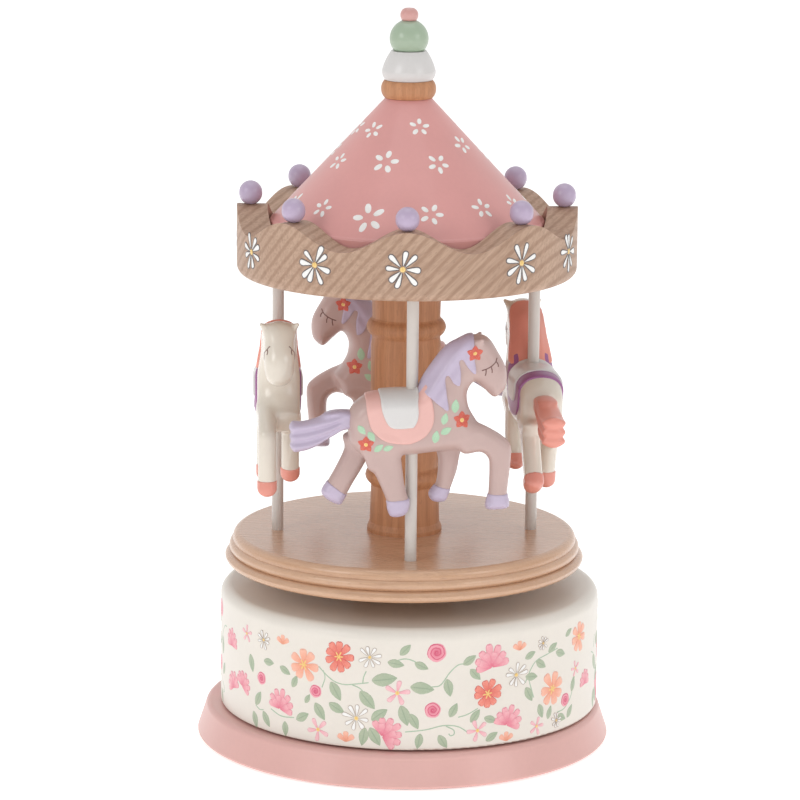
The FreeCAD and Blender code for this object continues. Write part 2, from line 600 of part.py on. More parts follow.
def make_barrel():
    """Spring barrel: a cup with crown teeth under its floor, which drive the cylinder's pinion."""
    inner = "barrel_r - barrel_wall"
    bore = "arbor_r + run_gap"
    half_face = "crown_face / 2"
    outline = [(bore, "barrel_low"), ("barrel_r", "barrel_low"), ("barrel_r", "barrel_high - cap_thick"),
               (inner, "barrel_high - cap_thick"), (inner, "barrel_low + barrel_floor"),
               (bore, "barrel_low + barrel_floor")]
    body = turned("barrel_body", outline)
    pitch_z = "cyl_axis + pinion_teeth * crown_module / 2"
    half = "crown_module * 0.5"
    tooth = [(f"-{half} * 1.3", "barrel_low + 0.2"), (f"-{half}", pitch_z),
             (f"-{half} * 0.45", f"{pitch_z} - crown_module"),
             (f"{half} * 0.45", f"{pitch_z} - crown_module"), (half, pitch_z),
             (f"{half} * 1.3", "barrel_low + 0.2")]
    toothed(body, "crown", "YZ_Plane", f"crown_mean_r - {half_face}", "crown_face", tooth,
            "crown_teeth", "Z_Axis")
    body.setExpression("Placement.Rotation.Angle", cells("180 / crown_teeth"))
    keep(body, "spring_barrel")
    cap = [("shaft_r", "barrel_high - cap_thick"), ("barrel_r", "barrel_high - cap_thick"),
           ("barrel_r", "barrel_high"), ("shaft_r", "barrel_high")]
    keep(turned("cap_body", cap), "barrel_cap")
    keep(cylinder("shaft_bar", "shaft_r", "shaft_high - barrel_high + cap_thick",
                  ("0", "0", "barrel_high - cap_thick")), "output_shaft")


def make_mainspring():
    """Flat spiral spring inside the barrel, as a strip of even thickness."""
    low = value("barrel_low + barrel_floor + spring_margin")
    high = value("barrel_high - cap_thick - spring_margin")
    inner, outer, turns = value("spring_in_r"), value("spring_out_r"), value("spring_turns")
    thick = value("spring_thick")

    def edge(offset):
        points = []
        steps = int(turns * 12)
        for step in range(steps + 1):
            angle = 2 * math.pi * turns * step / steps
            radius = inner + (outer - thick - inner) * step / steps + offset
            points.append(Vector(radius * math.cos(angle), radius * math.sin(angle), low))
        curve = Part.BSplineCurve()
        curve.interpolate(points)
        return curve.toShape(), points[0], points[-1]

    inside, in_start, in_end = edge(0.0)
    outside, out_start, out_end = edge(thick)
    wire = Part.Wire([inside, Part.makeLine(in_end, out_end), outside, Part.makeLine(out_start, in_start)])
    keep(free_shape("spring_strip", Part.Face(wire).extrude(Vector(0, 0, high - low))), "mainspring")


def make_hub():
    """Hub that carries the turntable on the output shaft, and its screws."""
    outline = [("shaft_r", "hub_low"), ("hub_r", "hub_low"), ("hub_r", "deck_low"), ("shaft_r", "deck_low")]
    blank = turned("hub_body", outline)
    holes, screws = [], []
    for index, angle in enumerate(around(value("hub_screw_count"), 30)):
        x, y = ring_place(value("hub_screw_ring_r"), angle)
        number = index + 1
        length = "deck_low - hub_low - 0.2"
        holes.append(cylinder(f"hub_hole_{number}", "hub_screw_r", length, (x, y, "hub_low + 0.2")))
        holes.append(cylinder(f"hub_head_hole_{number}", "hub_screw_head_r", "hub_screw_head + 0.2",
                              (x, y, "hub_low")))
        shank = cylinder(f"hub_shank_{number}", "hub_screw_r", "hub_screw_high - hub_low - 0.2",
                         (x, y, "hub_low + 0.2"))
        head = cylinder(f"hub_head_{number}", "hub_screw_head_r", "hub_screw_head", (x, y, "hub_low + 0.2"))
        screws.append(fuse(f"hub_screw_{number}", [shank, head]))
    keep(cut("hub_cut", blank, holes), "turntable_hub")
    keep(compound("hub_screw_set", screws), "hub_screws")


def pole_angles():
    """Angles of the four poles, front first and then counter-clockwise from above."""
    return around(value("horse_count"), -90 + value("pole_turn"))


def pole_bars(name, low, length):
    """Round bars on the four pole axes."""
    bars = []
    for side, angle in zip(CLOCK, pole_angles()):
        x, y = ring_place(value("pole_ring_r"), angle)
        bars.append(cylinder(f"{name}_{side}", "pole_r", length, (x, y, low)))
    return bars


def make_platform():
    """Round deck with a stepped, rounded edge of three tiers."""
    outline = [("0", "deck_low"), ("deck_under_r", "deck_low"), ("arc", "tier_round", "right"),
               ("deck_r", "tier_low - tier_drop"), ("arc", "tier_round * 1.4", "right"),
               ("tier_gap_r", "tier_low"), ("arc", "tier_round", "right"),
               ("tier_gap_r - tier_step", "tier_high"), ("arc", "tier_round * 1.25", "right"),
               ("deck_top_r - deck_lip", "deck_top"), ("0", "deck_top")]
    blank = turned("deck_body", outline)
    tools = [cylinder("deck_shaft_hole", "shaft_r", "shaft_high - deck_low", ("0", "0", "deck_low")),
             cylinder("deck_tenon_hole", "tenon_r", "tenon_len", ("0", "0", "deck_top - tenon_len"))]
    for index, angle in enumerate(around(value("hub_screw_count"), 30)):
        x, y = ring_place(value("hub_screw_ring_r"), angle)
        tools.append(cylinder(f"deck_screw_hole_{index + 1}", "hub_screw_r", "hub_screw_high - deck_low",
                              (x, y, "deck_low")))
    tools += pole_bars("deck_pole_hole", "deck_top - pole_socket", "pole_socket")
    keep(cut("deck_cut", blank, tools), "platform")


def make_column():
    """Turned centre column with two rounded collars and a tenon at each end."""
    def collar(height):
        return [("column_waist_r", f"{height} - collar_half - collar_neck"),
                ("column_r", f"{height} - collar_half"),
                ("arc", "collar_half * 1.35", "right"), ("collar_r", height),
                ("arc", "collar_half * 1.35", "right"), ("column_r", f"{height} + collar_half"),
                ("column_waist_r", f"{height} + collar_half + collar_neck")]
    outline = [("0", "deck_top - tenon_len"), ("tenon_r", "deck_top - tenon_len"), ("tenon_r", "deck_top"),
               ("column_foot_r", "deck_top"), ("column_foot_r", "deck_top + column_foot * 0.4"),
               ("column_r", "deck_top + column_foot")]
    outline += collar("collar_low")
    outline += [("column_r", "collar_low + column_swell"), ("column_r", "collar_high - column_swell")]
    outline += collar("collar_high")
    outline += [("column_r", "canopy_low"), ("tenon_r", "canopy_low"),
                ("tenon_r", "canopy_low + tenon_len"), ("0", "canopy_low + tenon_len")]
    keep(turned("column_body", outline), "column")


def make_poles():
    """Four slim poles from the deck to the canopy, one through each horse."""
    length = "canopy_low - deck_top + pole_socket * 2"
    for side, bar in zip(CLOCK, pole_bars("pole_bar", "deck_top - pole_socket", length)):
        keep(bar, f"pole_{side}")


# ---------------------------------------------------------------- horses

def egg(centre, radii, tilt_deg=0.0):
    """An ellipsoid, tilted nose-up in the vertical plane that the horse runs in."""
    matrix = FreeCAD.Matrix()
    matrix.scale(*radii)
    matrix.rotateY(math.radians(-tilt_deg))
    matrix.move(Vector(*centre))
    return Part.makeSphere(1.0).transformGeometry(matrix)


def taper(first, last, first_r, last_r):
    """A tapered round bar between two points."""
    first, last = Vector(*first), Vector(*last)
    return Part.makeCone(first_r, last_r, (last - first).Length, first, last - first)


def limb(joints):
    """A leg from its (point, radius) joints: tapered bars with a ball at each bend."""
    solids = []
    for (first, first_r), (last, last_r) in zip(joints, joints[1:]):
        solids.append(taper(first, last, first_r, last_r))
        solids.append(Part.makeSphere(last_r * 1.03, Vector(*last)))
    return solids[:-1]


# One galloping horse in its own frame: x forward from the pole, y to its left, z up from its hooves.
TRUNK = [((-9.0, 0, 22.0), (9.0, 5.6, 8.2), -6), ((1.0, 0, 22.8), (12.0, 5.3, 8.4), 0),
         ((9.5, 0, 22.8), (8.4, 5.7, 8.8), 20)]
NECK = [((12.6, 0, 32.0), (5.2, 4.0, 9.6), -18)]
HEAD = [((17.0, 0, 40.6), (5.6, 3.8, 5.4), 0), ((21.0, 0, 36.4), (6.6, 3.2, 4.2), -42)]
TAIL = [((-20.0, 0, 24.4), (5.4, 2.9, 3.0), -8), ((-26.6, 0, 22.0), (6.4, 3.0, 4.2), 32)]
EAR_X, EAR_Y, EAR_Z, EAR_TIP_Z = 17.6, 2.1, 42.6, 47.2
EAR_R, EAR_TIP_R = 1.7, 0.5
LEGS = [
    [((12.0, -1.8, 19.2), 4.0), ((22.6, -2.9, 18.4), 2.7),
     ((23.6, -3.0, 9.0), 1.9), ((23.4, -3.0, 2.4), 2.6)],
    [((11.0, 1.8, 18.0), 4.0), ((12.2, 2.9, 11.0), 2.4),
     ((9.6, 3.0, 5.6), 1.8), ((8.2, 3.0, 2.6), 2.5)],
    [((-9.0, -1.8, 17.6), 4.2), ((-6.2, -2.9, 11.0), 2.7),
     ((-4.6, -3.0, 4.6), 1.9), ((-4.0, -3.0, 0.4), 2.5)],
    [((-13.0, 1.8, 19.4), 4.2), ((-15.6, 2.9, 12.0), 2.7),
     ((-19.0, 3.0, 6.4), 1.9), ((-21.0, 3.0, 2.8), 2.5)],
]


def horse_shape():
    """The shared horse solid, with the pole's hole through its saddle."""
    solids = [egg(*part) for part in TRUNK + NECK + HEAD + TAIL]
    for side in (-1, 1):
        solids.append(taper((EAR_X, side * EAR_Y, EAR_Z), (EAR_X + 0.6, side * (EAR_Y + 0.3), EAR_TIP_Z),
                            EAR_R, EAR_TIP_R))
    for joints in LEGS:
        solids += limb(joints)
    whole = solids[0].multiFuse(solids[1:])
    hole = Part.makeCylinder(value("pole_r"), EAR_TIP_Z + 2 * OVER, Vector(0, 0, -OVER))
    return whole.cut(hole)


def make_horses():
    """Four horses from one mould, one on each pole, all running counter-clockwise."""
    shape = horse_shape()
    for side, angle in zip(CLOCK, pole_angles()):
        x, y = ring_place(value("pole_ring_r"), angle)
        horse = free_shape(f"horse_solid_{side}", shape)
        extra = value("horse_right_turn") if side == "right" else 0
        turn = Rotation(Vector(0, 0, 1), math.degrees(angle) + 90 + extra)
        horse.Placement = Placement(Vector(x, y, value("horse_stand")), turn)
        keep(horse, f"horse_{side}")


# ---------------------------------------------------------------- canopy, roof and finial

def wave_cutter():
    """Solid above the crown's wavy top, between just inside and just outside its wall."""
    def ring(radius):
        points = []
        for angle in around(16 * value("crown_peaks")):
            x, y = ring_place(radius, angle)
            height = value("crown_mid") + value("crown_swing") * math.cos(value("crown_peaks") * angle)
            points.append(Vector(x, y, height))
        curve = Part.BSplineCurve()
        curve.interpolate(Points=points, PeriodicFlag=True)
        return curve.toShape()
    surface = Part.makeRuledSurface(ring(value("recess_r") - OVER), ring(value("canopy_r") + OVER))
    return surface.extrude(Vector(0, 0, value("crown_swing") * 4))


def make_canopy():
    """Canopy with a rounded lower edge, a wavy crown and a recess for the roof."""
    high = f"crown_mid + crown_swing + {OVER}"
    outline = [("0", "canopy_low"), ("canopy_r - canopy_round", "canopy_low"),
               ("arc", "canopy_round", "right"), ("canopy_r", "canopy_low + canopy_round"),
               ("canopy_r", high), ("recess_r", high), ("recess_r", "recess_floor"), ("0", "recess_floor")]
    blank = turned("canopy_body", outline)
    tools = [free_shape("crown_wave", wave_cutter()),
             cylinder("canopy_tenon_hole", "tenon_r", "tenon_len", ("0", "0", "canopy_low"))]
    tools += pole_bars("canopy_pole_hole", "canopy_low", "pole_socket")
    for index, angle in enumerate(around(value("crown_peaks"))):
        x, y = ring_place(value("bead_ring_r"), angle)
        tools.append(cylinder(f"peg_hole_{index + 1}", "bead_peg_r", f"bead_peg + {OVER}",
                              (x, y, "bead_seat - bead_peg")))
    keep(cut("canopy_cut", blank, tools), "canopy_ring")


def make_beads():
    """A bead on each peak of the crown, turned with the peg that holds it."""
    flat = "sqrt(bead_r * bead_r - (bead_z - bead_seat) * (bead_z - bead_seat))"
    outline = [("0", "bead_seat - bead_peg"), ("bead_peg_r", "bead_seat - bead_peg"),
               ("bead_peg_r", "bead_seat - 0.001"), (f"{flat} + bead_peg_r", "bead_seat"),
               ("arc", "bead_r", "right"), ("bead_r", "bead_z"), ("arc", "bead_r", "right"),
               ("0", "bead_z + bead_r")]
    for index, angle in enumerate(around(value("crown_peaks"))):
        x, y = ring_place(value("bead_ring_r"), angle)
        bead = turned(f"bead_body_{index + 1}", outline)
        place(bead, x=x, y=y)
        keep(bead, f"crown_bead_{index + 1}")


def make_roof():
    """Cone roof with a short skirt that sits in the canopy's recess."""
    outline = [("0", "recess_floor"), ("roof_r", "recess_floor"), ("roof_r", "roof_skirt"),
               ("arc", "roof_round", "right"), ("roof_r - 0.6", "roof_skirt + 0.75"),
               ("roof_top_r", "roof_top"), ("pin_bore_r", "roof_top"), ("pin_bore_r", "finial_pin_low"),
               ("0", "finial_pin_low")]
    keep(turned("roof_body", outline), "cone_roof")


def make_finial():
    """Stacked finial: ring, cup, ball and knob threaded on one dowel."""
    bore = "pin_bore_r"
    ring_low = "roof_top + stack_gap"
    ring_mid = f"({ring_low} + ring_high) / 2"
    ring = [(bore, ring_low), ("ring_low_r", ring_low), ("arc", "ring_round * 1.2", "right"),
            ("ring_mid_r", ring_mid), ("arc", "ring_round * 1.2", "right"), ("ring_low_r", "ring_high"),
            (bore, "ring_high")]
    keep(turned("ring_body", ring), "finial_ring")
    cup_low = "ring_high + stack_gap"
    cup = [(bore, cup_low), ("cup_low_r", cup_low), ("arc", "cup_foot_round", "right"),
           ("cup_mid_r", "cup_mid"), ("arc", "cup_flare_round", "right"), ("cup_top_r", "cup_high"),
           (bore, "cup_high")]
    keep(turned("cup_body", cup), "finial_cup")
    low = "cup_high + stack_gap"
    high = "knob_low - stack_gap"
    low_r = f"sqrt(ball_r * ball_r - (ball_z - {low}) * (ball_z - {low}))"
    high_r = f"sqrt(ball_r * ball_r - ({high} - ball_z) * ({high} - ball_z))"
    ball = [(bore, low), (low_r, low), ("arc", "ball_r", "right"), ("ball_r", "ball_z"),
            ("arc", "ball_r", "right"), (high_r, high), (bore, high)]
    keep(turned("ball_body", ball), "finial_ball")
    knob = [(bore, "knob_low"), ("knob_foot_r", "knob_low"), ("arc", "knob_round", "right"),
            ("knob_r", "knob_mid"), ("arc", "knob_round", "right"), ("knob_top_r", "knob_high"),
            ("0", "knob_high"), ("0", "finial_pin_high"), (bore, "finial_pin_high")]
    keep(turned("knob_body", knob), "finial_knob")
    keep(cylinder("pin_bar", bore, "finial_pin_high - finial_pin_low", ("0", "0", "finial_pin_low")),
         "finial_pin")


# ---------------------------------------------------------------- build, check and write

def check_and_write():
    """Stop on any failed object or bad shape, then write one STEP file for each sub-part."""
    failed = [item.Name for item in doc.Objects if {"Invalid", "Error"} & set(item.State)]
    if failed:
        raise RuntimeError(f"these objects failed: {failed}")
    for piece in pieces:
        shape = piece.Shape
        if shape.isNull() or not shape.isValid() or not shape.Solids:
            raise RuntimeError(f"{piece.Label} has no valid solid")
    os.makedirs("parts", exist_ok=True)
    for piece in pieces:
        piece.Shape.exportStep(f"parts/{piece.Label}.step")
        print(f"{piece.Label}: {len(piece.Shape.Solids)} solid(s), {piece.Shape.Volume:.1f} mm3")


def main():
    fill_sheet()
    make_foot()
    make_foot_felt()
    make_slip_ring()
    make_arbor()
    make_drum()
    make_base_plate()
    make_bedplate()
    make_post("inner_post", "inner_post_x")
    make_post("outer_post", "outer_post_x")
    make_bush()
    make_comb()
    make_governor_frame()
    make_cylinder()
    make_tune_pins()
    make_governor()
    make_fan()
    make_barrel()
    make_mainspring()
    make_hub()
    make_platform()
    make_column()
    make_poles()
    make_horses()
    make_canopy()
    make_beads()
    make_roof()
    make_finial()
    doc.recompute()
    check_and_write()


main()
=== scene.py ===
import math
import random

import bpy
import numpy as np
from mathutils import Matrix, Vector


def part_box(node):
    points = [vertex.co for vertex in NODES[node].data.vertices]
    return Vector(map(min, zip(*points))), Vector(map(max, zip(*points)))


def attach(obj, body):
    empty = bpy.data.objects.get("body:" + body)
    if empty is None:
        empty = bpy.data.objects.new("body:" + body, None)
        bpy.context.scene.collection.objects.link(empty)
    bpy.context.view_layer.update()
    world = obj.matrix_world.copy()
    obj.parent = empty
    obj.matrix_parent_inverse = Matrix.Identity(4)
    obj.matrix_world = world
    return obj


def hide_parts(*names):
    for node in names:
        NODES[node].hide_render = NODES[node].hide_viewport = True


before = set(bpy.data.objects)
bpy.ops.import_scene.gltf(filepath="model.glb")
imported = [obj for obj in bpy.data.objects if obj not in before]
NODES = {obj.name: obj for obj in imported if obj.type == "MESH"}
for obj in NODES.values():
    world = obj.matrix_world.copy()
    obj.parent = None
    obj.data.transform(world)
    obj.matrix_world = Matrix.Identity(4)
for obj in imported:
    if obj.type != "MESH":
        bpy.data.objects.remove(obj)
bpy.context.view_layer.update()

import openvdb
from mathutils import Matrix, Vector

# Every size here is in millimetres, and every angle in degrees, unless its comment says otherwise.
# The frame is in metres, so MM turns one into the other.
MM = 0.001
SUNK = -0.03          # the rim of a painted shape dips this far into the surface under it
LEAF_LIFT = 0.07      # how far paint stands out: small petals and leaves,
PETAL_LIFT = 0.08     # the petals of large flowers,
PETAL_LAYER = 0.006   # and each petal over the one beside it
HORSE_SIDES = ("front", "right", "back", "left")
QUARTER = 90.0


def box_mm(node):
    """Lowest and highest corner of a CAD node, in mm."""
    low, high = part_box(node)
    return low / MM, high / MM


def linear(colour):
    """A display colour, three numbers from 0 to 255, as linear RGBA."""
    parts = []
    for level in colour:
        share = level / 255.0
        parts.append(share / 12.92 if share <= 0.04045 else ((share + 0.055) / 1.055) ** 2.4)
    return (*parts, 1.0)


def shaded(colour, factor):
    """The same display colour, lighter or darker by a factor."""
    return tuple(min(255.0, level * factor) for level in colour)


# ------------------------------------------------------------------ materials


class Finish:
    """One procedural material, built node by node. Its coordinates are in mm."""

    def __init__(self, name):
        self.material = bpy.data.materials.new(name)
        self.material.use_nodes = True
        self.tree = self.material.node_tree
        self.shader = self.tree.nodes["Principled BSDF"]

    def node(self, kind, inputs=(), **settings):
        made = self.tree.nodes.new(kind)
        for key, value in settings.items():
            setattr(made, key, value)
        for key, value in dict(inputs).items():
            self.feed(made.inputs[key], value)
        return made

    def feed(self, socket, value):
        if isinstance(value, bpy.types.NodeSocket):
            self.tree.links.new(value, socket)
        else:
            socket.default_value = value

    def set(self, **values):
        """Values of the shader's inputs, with _ for a space in the name."""
        for key, value in values.items():
            self.feed(self.shader.inputs[key.replace("_", " ")], value)

    def place(self, stretch=(1, 1, 1), turn=(0, 0, 0)):
        """Object coordinates in mm, turned and then stretched."""
        source = self.node("ShaderNodeTexCoord").outputs["Object"]
        radians = tuple(math.radians(angle) for angle in turn)
        turned = self.node("ShaderNodeMapping", {"Vector": source, "Rotation": radians})
        sized = tuple(part / MM for part in stretch)
        return self.node("ShaderNodeMapping", {"Vector": turned.outputs[0], "Scale": sized}).outputs[0]

    def noise(self, vector, scale, detail=4.0, rough=0.5):
        inputs = {"Vector": vector, "Scale": scale, "Detail": detail, "Roughness": rough}
        return self.node("ShaderNodeTexNoise", inputs).outputs[0]

    def bands(self, vector, period, wobble, detail_scale):
        inputs = {"Vector": vector, "Scale": math.pi / (10 * period), "Distortion": wobble, "Detail": 3.0}
        inputs["Detail Scale"] = detail_scale
        return self.node("ShaderNodeTexWave", inputs, wave_type="BANDS").outputs["Fac"]

    def ramp(self, factor, stops):
        made = self.node("ShaderNodeValToRGB", {"Fac": factor})
        elements = made.color_ramp.elements
        while len(elements) < len(stops):
            elements.new(0.5)
        for element, (position, colour) in zip(elements, stops):
            element.position = position
            element.color = linear(colour) if len(colour) == 3 else colour
        return made.outputs["Color"]

    def levels(self, factor, stops):
        """A ramp of grey levels from 0 to 1."""
        return self.ramp(factor, [(position, (level, level, level, 1.0)) for position, level in stops])

    def mix(self, factor, one, other, blend="MIX"):
        made = self.node("ShaderNodeMix", data_type="RGBA", blend_type=blend)
        for socket, value in ((0, factor), (6, one), (7, other)):
            self.feed(made.inputs[socket], value)
        return made.outputs[2]

    def sum(self, operation, one, other):
        return self.node("ShaderNodeMath", {0: one, 1: other}, operation=operation).outputs[0]

    def relief(self, height, depth, strength=1.0):
        """Bump of the given depth in mm."""
        inputs = {"Height": height, "Distance": depth * MM, "Strength": strength}
        self.set(Normal=self.node("ShaderNodeBump", inputs).outputs[0])


def lacquer(name, colour, rough, coat, drift=0.035, grain=0.012):
    """Brushed and polished paint: a slow drift of tone, finer mottling and faint brush ripples."""
    finish = Finish(name)
    place = finish.place()
    slow = finish.noise(place, 0.05, 3.0)
    fine = finish.noise(place, 0.9, 5.0, 0.6)
    tone = finish.mix(slow, linear(shaded(colour, 1 - drift)), linear(shaded(colour, 1 + drift)))
    speck = finish.levels(fine, [(0.25, 0.975), (0.7, 1.0)])
    finish.set(Base_Color=finish.mix(1.0, tone, speck, "MULTIPLY"))
    finish.set(Roughness=finish.levels(slow, [(0.2, rough * 0.9), (0.8, rough * 1.1)]))
    finish.set(Coat_Weight=coat, Coat_Roughness=0.12)
    finish.relief(finish.noise(place, 0.22, 2.0), grain)
    return finish.material


def wood(name, pale, middle, dark, turn, period, wobble=3.0, fibre=1.0, figure=0.6, rough=0.48, coat=0.08):
    """Sanded wood. Its fibres run along the turned X axis and its growth rings are planes across Z."""
    finish = Finish(name)
    grain = finish.place(turn=turn)
    stretched = finish.place((0.06, 1, 1), turn)
    flecked = finish.place((0.22, 1, 1), turn)
    warped = finish.noise(finish.place((0.03, 0.06, 0.06), turn), 1.0, 2.0)
    shifted = finish.node("ShaderNodeVectorMath", {0: grain, 1: (0, 0, 0)}, operation="ADD")
    offset = finish.node("ShaderNodeCombineXYZ", {"X": finish.sum("MULTIPLY", warped, wobble * period)})
    finish.feed(shifted.inputs[1], offset.outputs[0])
    turned = finish.node("ShaderNodeMapping", {"Vector": shifted.outputs[0], "Rotation": (0, math.pi / 2, 0)})
    rings = finish.bands(turned.outputs[0], period, 1.2, 0.6)
    fibres = finish.noise(stretched, 1.6, 6.0, 0.65)
    flecks = finish.noise(flecked, 2.4, 3.0, 0.5)
    tone = finish.mix(finish.levels(rings, [(0.5, 0.0), (0.95, figure)]), linear(pale), linear(middle))
    tone = finish.mix(finish.levels(fibres, [(0.42, 0.0), (0.75, 0.45 * fibre)]), tone, linear(dark))
    tone = finish.mix(finish.levels(flecks, [(0.62, 0.0), (0.72, 0.35 * fibre)]), tone, linear(dark))
    broad = finish.noise(finish.place((0.02, 0.09, 0.09), turn), 1.0, 2.0)
    tone = finish.mix(finish.levels(broad, [(0.35, 0.25), (0.65, 0.0)]), tone, linear(middle))
    finish.set(Base_Color=tone, Coat_Weight=coat, Coat_Roughness=0.3)
    finish.set(Roughness=finish.levels(fibres, [(0.3, rough), (0.8, rough * 1.3)]))
    finish.relief(finish.sum("ADD", fibres, flecks), 0.03, 0.7)
    return finish.material


def metal(name, colour, rough):
    """Turned or brushed metal with fine tool marks."""
    finish = Finish(name)
    marks = finish.noise(finish.place((0.1, 1, 1)), 6.0, 4.0, 0.6)
    tarnish = finish.noise(finish.place(), 0.25, 4.0)
    tone = finish.mix(tarnish, linear(shaded(colour, 0.85)), linear(colour))
    finish.set(Base_Color=tone, Metallic=1.0)
    finish.set(Roughness=finish.levels(marks, [(0.2, rough * 0.7), (0.8, rough * 1.4)]))
    finish.relief(marks, 0.01)
    return finish.material


def felt(name, colour):
    """Pressed wool felt."""
    finish = Finish(name)
    fluff = finish.noise(finish.place(), 3.0, 6.0, 0.7)
    finish.set(Base_Color=finish.mix(fluff, linear(shaded(colour, 0.75)), linear(shaded(colour, 1.15))))
    finish.set(Roughness=0.95, Sheen_Weight=0.4, Sheen_Roughness=0.6)
    finish.relief(fluff, 0.15)
    return finish.material


def plastic(name, colour):
    """Moulded plastic with a fine texture."""
    finish = Finish(name)
    texture = finish.noise(finish.place(), 4.0, 3.0)
    finish.set(Base_Color=finish.mix(texture, linear(shaded(colour, 0.9)), linear(shaded(colour, 1.1))))
    finish.set(Roughness=0.45)
    finish.relief(texture, 0.02)
    return finish.material


def painted(name, inner, outer, rim, rim_share=0.82, vein=None, wash=0.5):
    """Watercolour on lacquer. The mesh's "paint" says how far along (x) and across (y) a petal a point is."""
    finish = Finish(name)
    paint = finish.node("ShaderNodeAttribute", attribute_name="paint").outputs["Vector"]
    parts = finish.node("ShaderNodeSeparateXYZ", {0: paint}).outputs
    place = finish.place()
    blot = finish.noise(place, 0.9, 5.0, 0.62)
    drift = finish.sum("ADD", parts[0], finish.sum("MULTIPLY", finish.sum("SUBTRACT", blot, 0.5), wash))
    tone = finish.ramp(drift, [(0.05, inner), (0.9, outer)])
    streaks = finish.noise(place, 3.2, 4.0, 0.6)
    faded = finish.mix(finish.levels(streaks, [(0.5, 0.0), (0.8, 0.22)]), tone, linear((250, 244, 238)))
    away = finish.sum("ABSOLUTE", parts[1], 0.0)
    if vein is not None:
        near = finish.levels(away, [(0.02, 0.75), (0.16, 0.0)])
        faded = finish.mix(near, faded, linear(vein))
    edge = finish.sum("MAXIMUM", away, finish.sum("POWER", parts[0], 3.0))
    outline = finish.levels(edge, [(rim_share, 0.0), (min(0.99, rim_share + 0.1), 0.85)])
    finish.set(Base_Color=finish.mix(outline, faded, linear(rim)))
    finish.set(Roughness=finish.levels(blot, [(0.3, 0.378), (0.7, 0.483)]))
    finish.set(Coat_Weight=0.15, Coat_Roughness=0.15)
    finish.relief(blot, 0.008)
    return finish.material


def swirled(name, pale, deep):
    """A rose: paint that winds from a deep middle to a pale edge."""
    finish = Finish(name)
    paint = finish.node("ShaderNodeAttribute", attribute_name="paint").outputs["Vector"]
    parts = finish.node("ShaderNodeSeparateXYZ", {0: paint}).outputs
    blot = finish.noise(finish.place(), 1.1, 4.0)
    turns = finish.sum("ADD", finish.sum("MULTIPLY", parts[0], 2.6), finish.sum("MULTIPLY", parts[1], 0.5))
    turns = finish.sum("ADD", turns, finish.sum("MULTIPLY", blot, 0.5))
    wave = finish.sum("FRACT", turns, 0.0)
    petals = finish.ramp(wave, [(0.0, deep), (0.35, pale), (0.8, pale), (1.0, deep)])
    heart = finish.levels(parts[0], [(0.15, 0.8), (0.75, 0.0)])
    finish.set(Base_Color=finish.mix(heart, petals, linear(deep)), Roughness=0.42, Coat_Weight=0.15)
    finish.relief(blot, 0.008)
    return finish.material


# Lacquers: display colour, roughness, clear coat, how far the tone drifts and the depth of the brush ripples.
LACQUERS = {
    "pink_lacquer": ((226, 178, 171), 0.4, 0.2),
    "roof": ((222, 158, 154), 0.4, 0.25),
    "knob": ((214, 160, 154), 0.3, 0.3),
    "cream_lacquer": ((232, 225, 215), 0.4, 0.2, 0.02, 0.002),
    "white_lacquer": ((218, 215, 213), 0.32, 0.3, 0.02),
    "green_lacquer": ((166, 184, 160), 0.3, 0.3),
    "lilac_lacquer": ((188, 170, 196), 0.3, 0.35),
    "pole_white": ((208, 200, 193), 0.3, 0.3, 0.015),
    "horse_mauve": ((196, 168, 162), 0.36, 0.25, 0.05),
    "horse_cream": ((226, 216, 202), 0.24, 0.55, 0.03),
    "horse_lilac": ((196, 182, 204), 0.38, 0.2, 0.06),
    "saddle_pink": ((232, 182, 174), 0.38, 0.2, 0.04),
    "saddle_white": ((218, 215, 213), 0.34, 0.2, 0.02),
    "coral": ((230, 150, 134), 0.34, 0.3, 0.07),
    "purple": ((158, 98, 148), 0.36, 0.25, 0.06),
}
# Watercolours: the colours at the heart, at the tip and along the rim, where the rim starts, the vein and
# how far the colours run.
PAINTS = {
    "leaf": ((176, 186, 160), (164, 180, 152), (148, 166, 140), 0.86, (140, 160, 134), 0.9),
    "vine": ((164, 188, 160), (172, 194, 168), (160, 184, 158)),
    "coral_flower": ((222, 92, 80), (238, 142, 124), (204, 88, 86), 0.8),
    "peach_flower": ((238, 150, 118), (246, 186, 162), (234, 150, 132), 0.88),
    "peony": ((226, 112, 136), (242, 176, 184), (222, 120, 142), 0.82),
    "star": ((236, 160, 174), (244, 196, 200), (216, 132, 152), 0.8),
    "white_petal": ((238, 236, 232), (246, 245, 243), (236, 232, 228), 0.95, None, 0.3),
    "fine_line": ((172, 152, 137), (170, 150, 135), (162, 142, 128)),
    "dark_line": ((92, 84, 84), (104, 96, 94), (84, 78, 78)),
    "yellow": ((236, 190, 104), (246, 214, 136), (226, 176, 96), 0.9),
    "red_flower": ((206, 84, 66), (214, 96, 76), (200, 78, 62), 0.96, None, 0.3),
    "mint_leaf": ((170, 205, 172), (178, 212, 180), (160, 198, 164), 0.96, None, 0.4),
    "lash": ((112, 74, 68), (120, 80, 72), (104, 68, 62)),
}


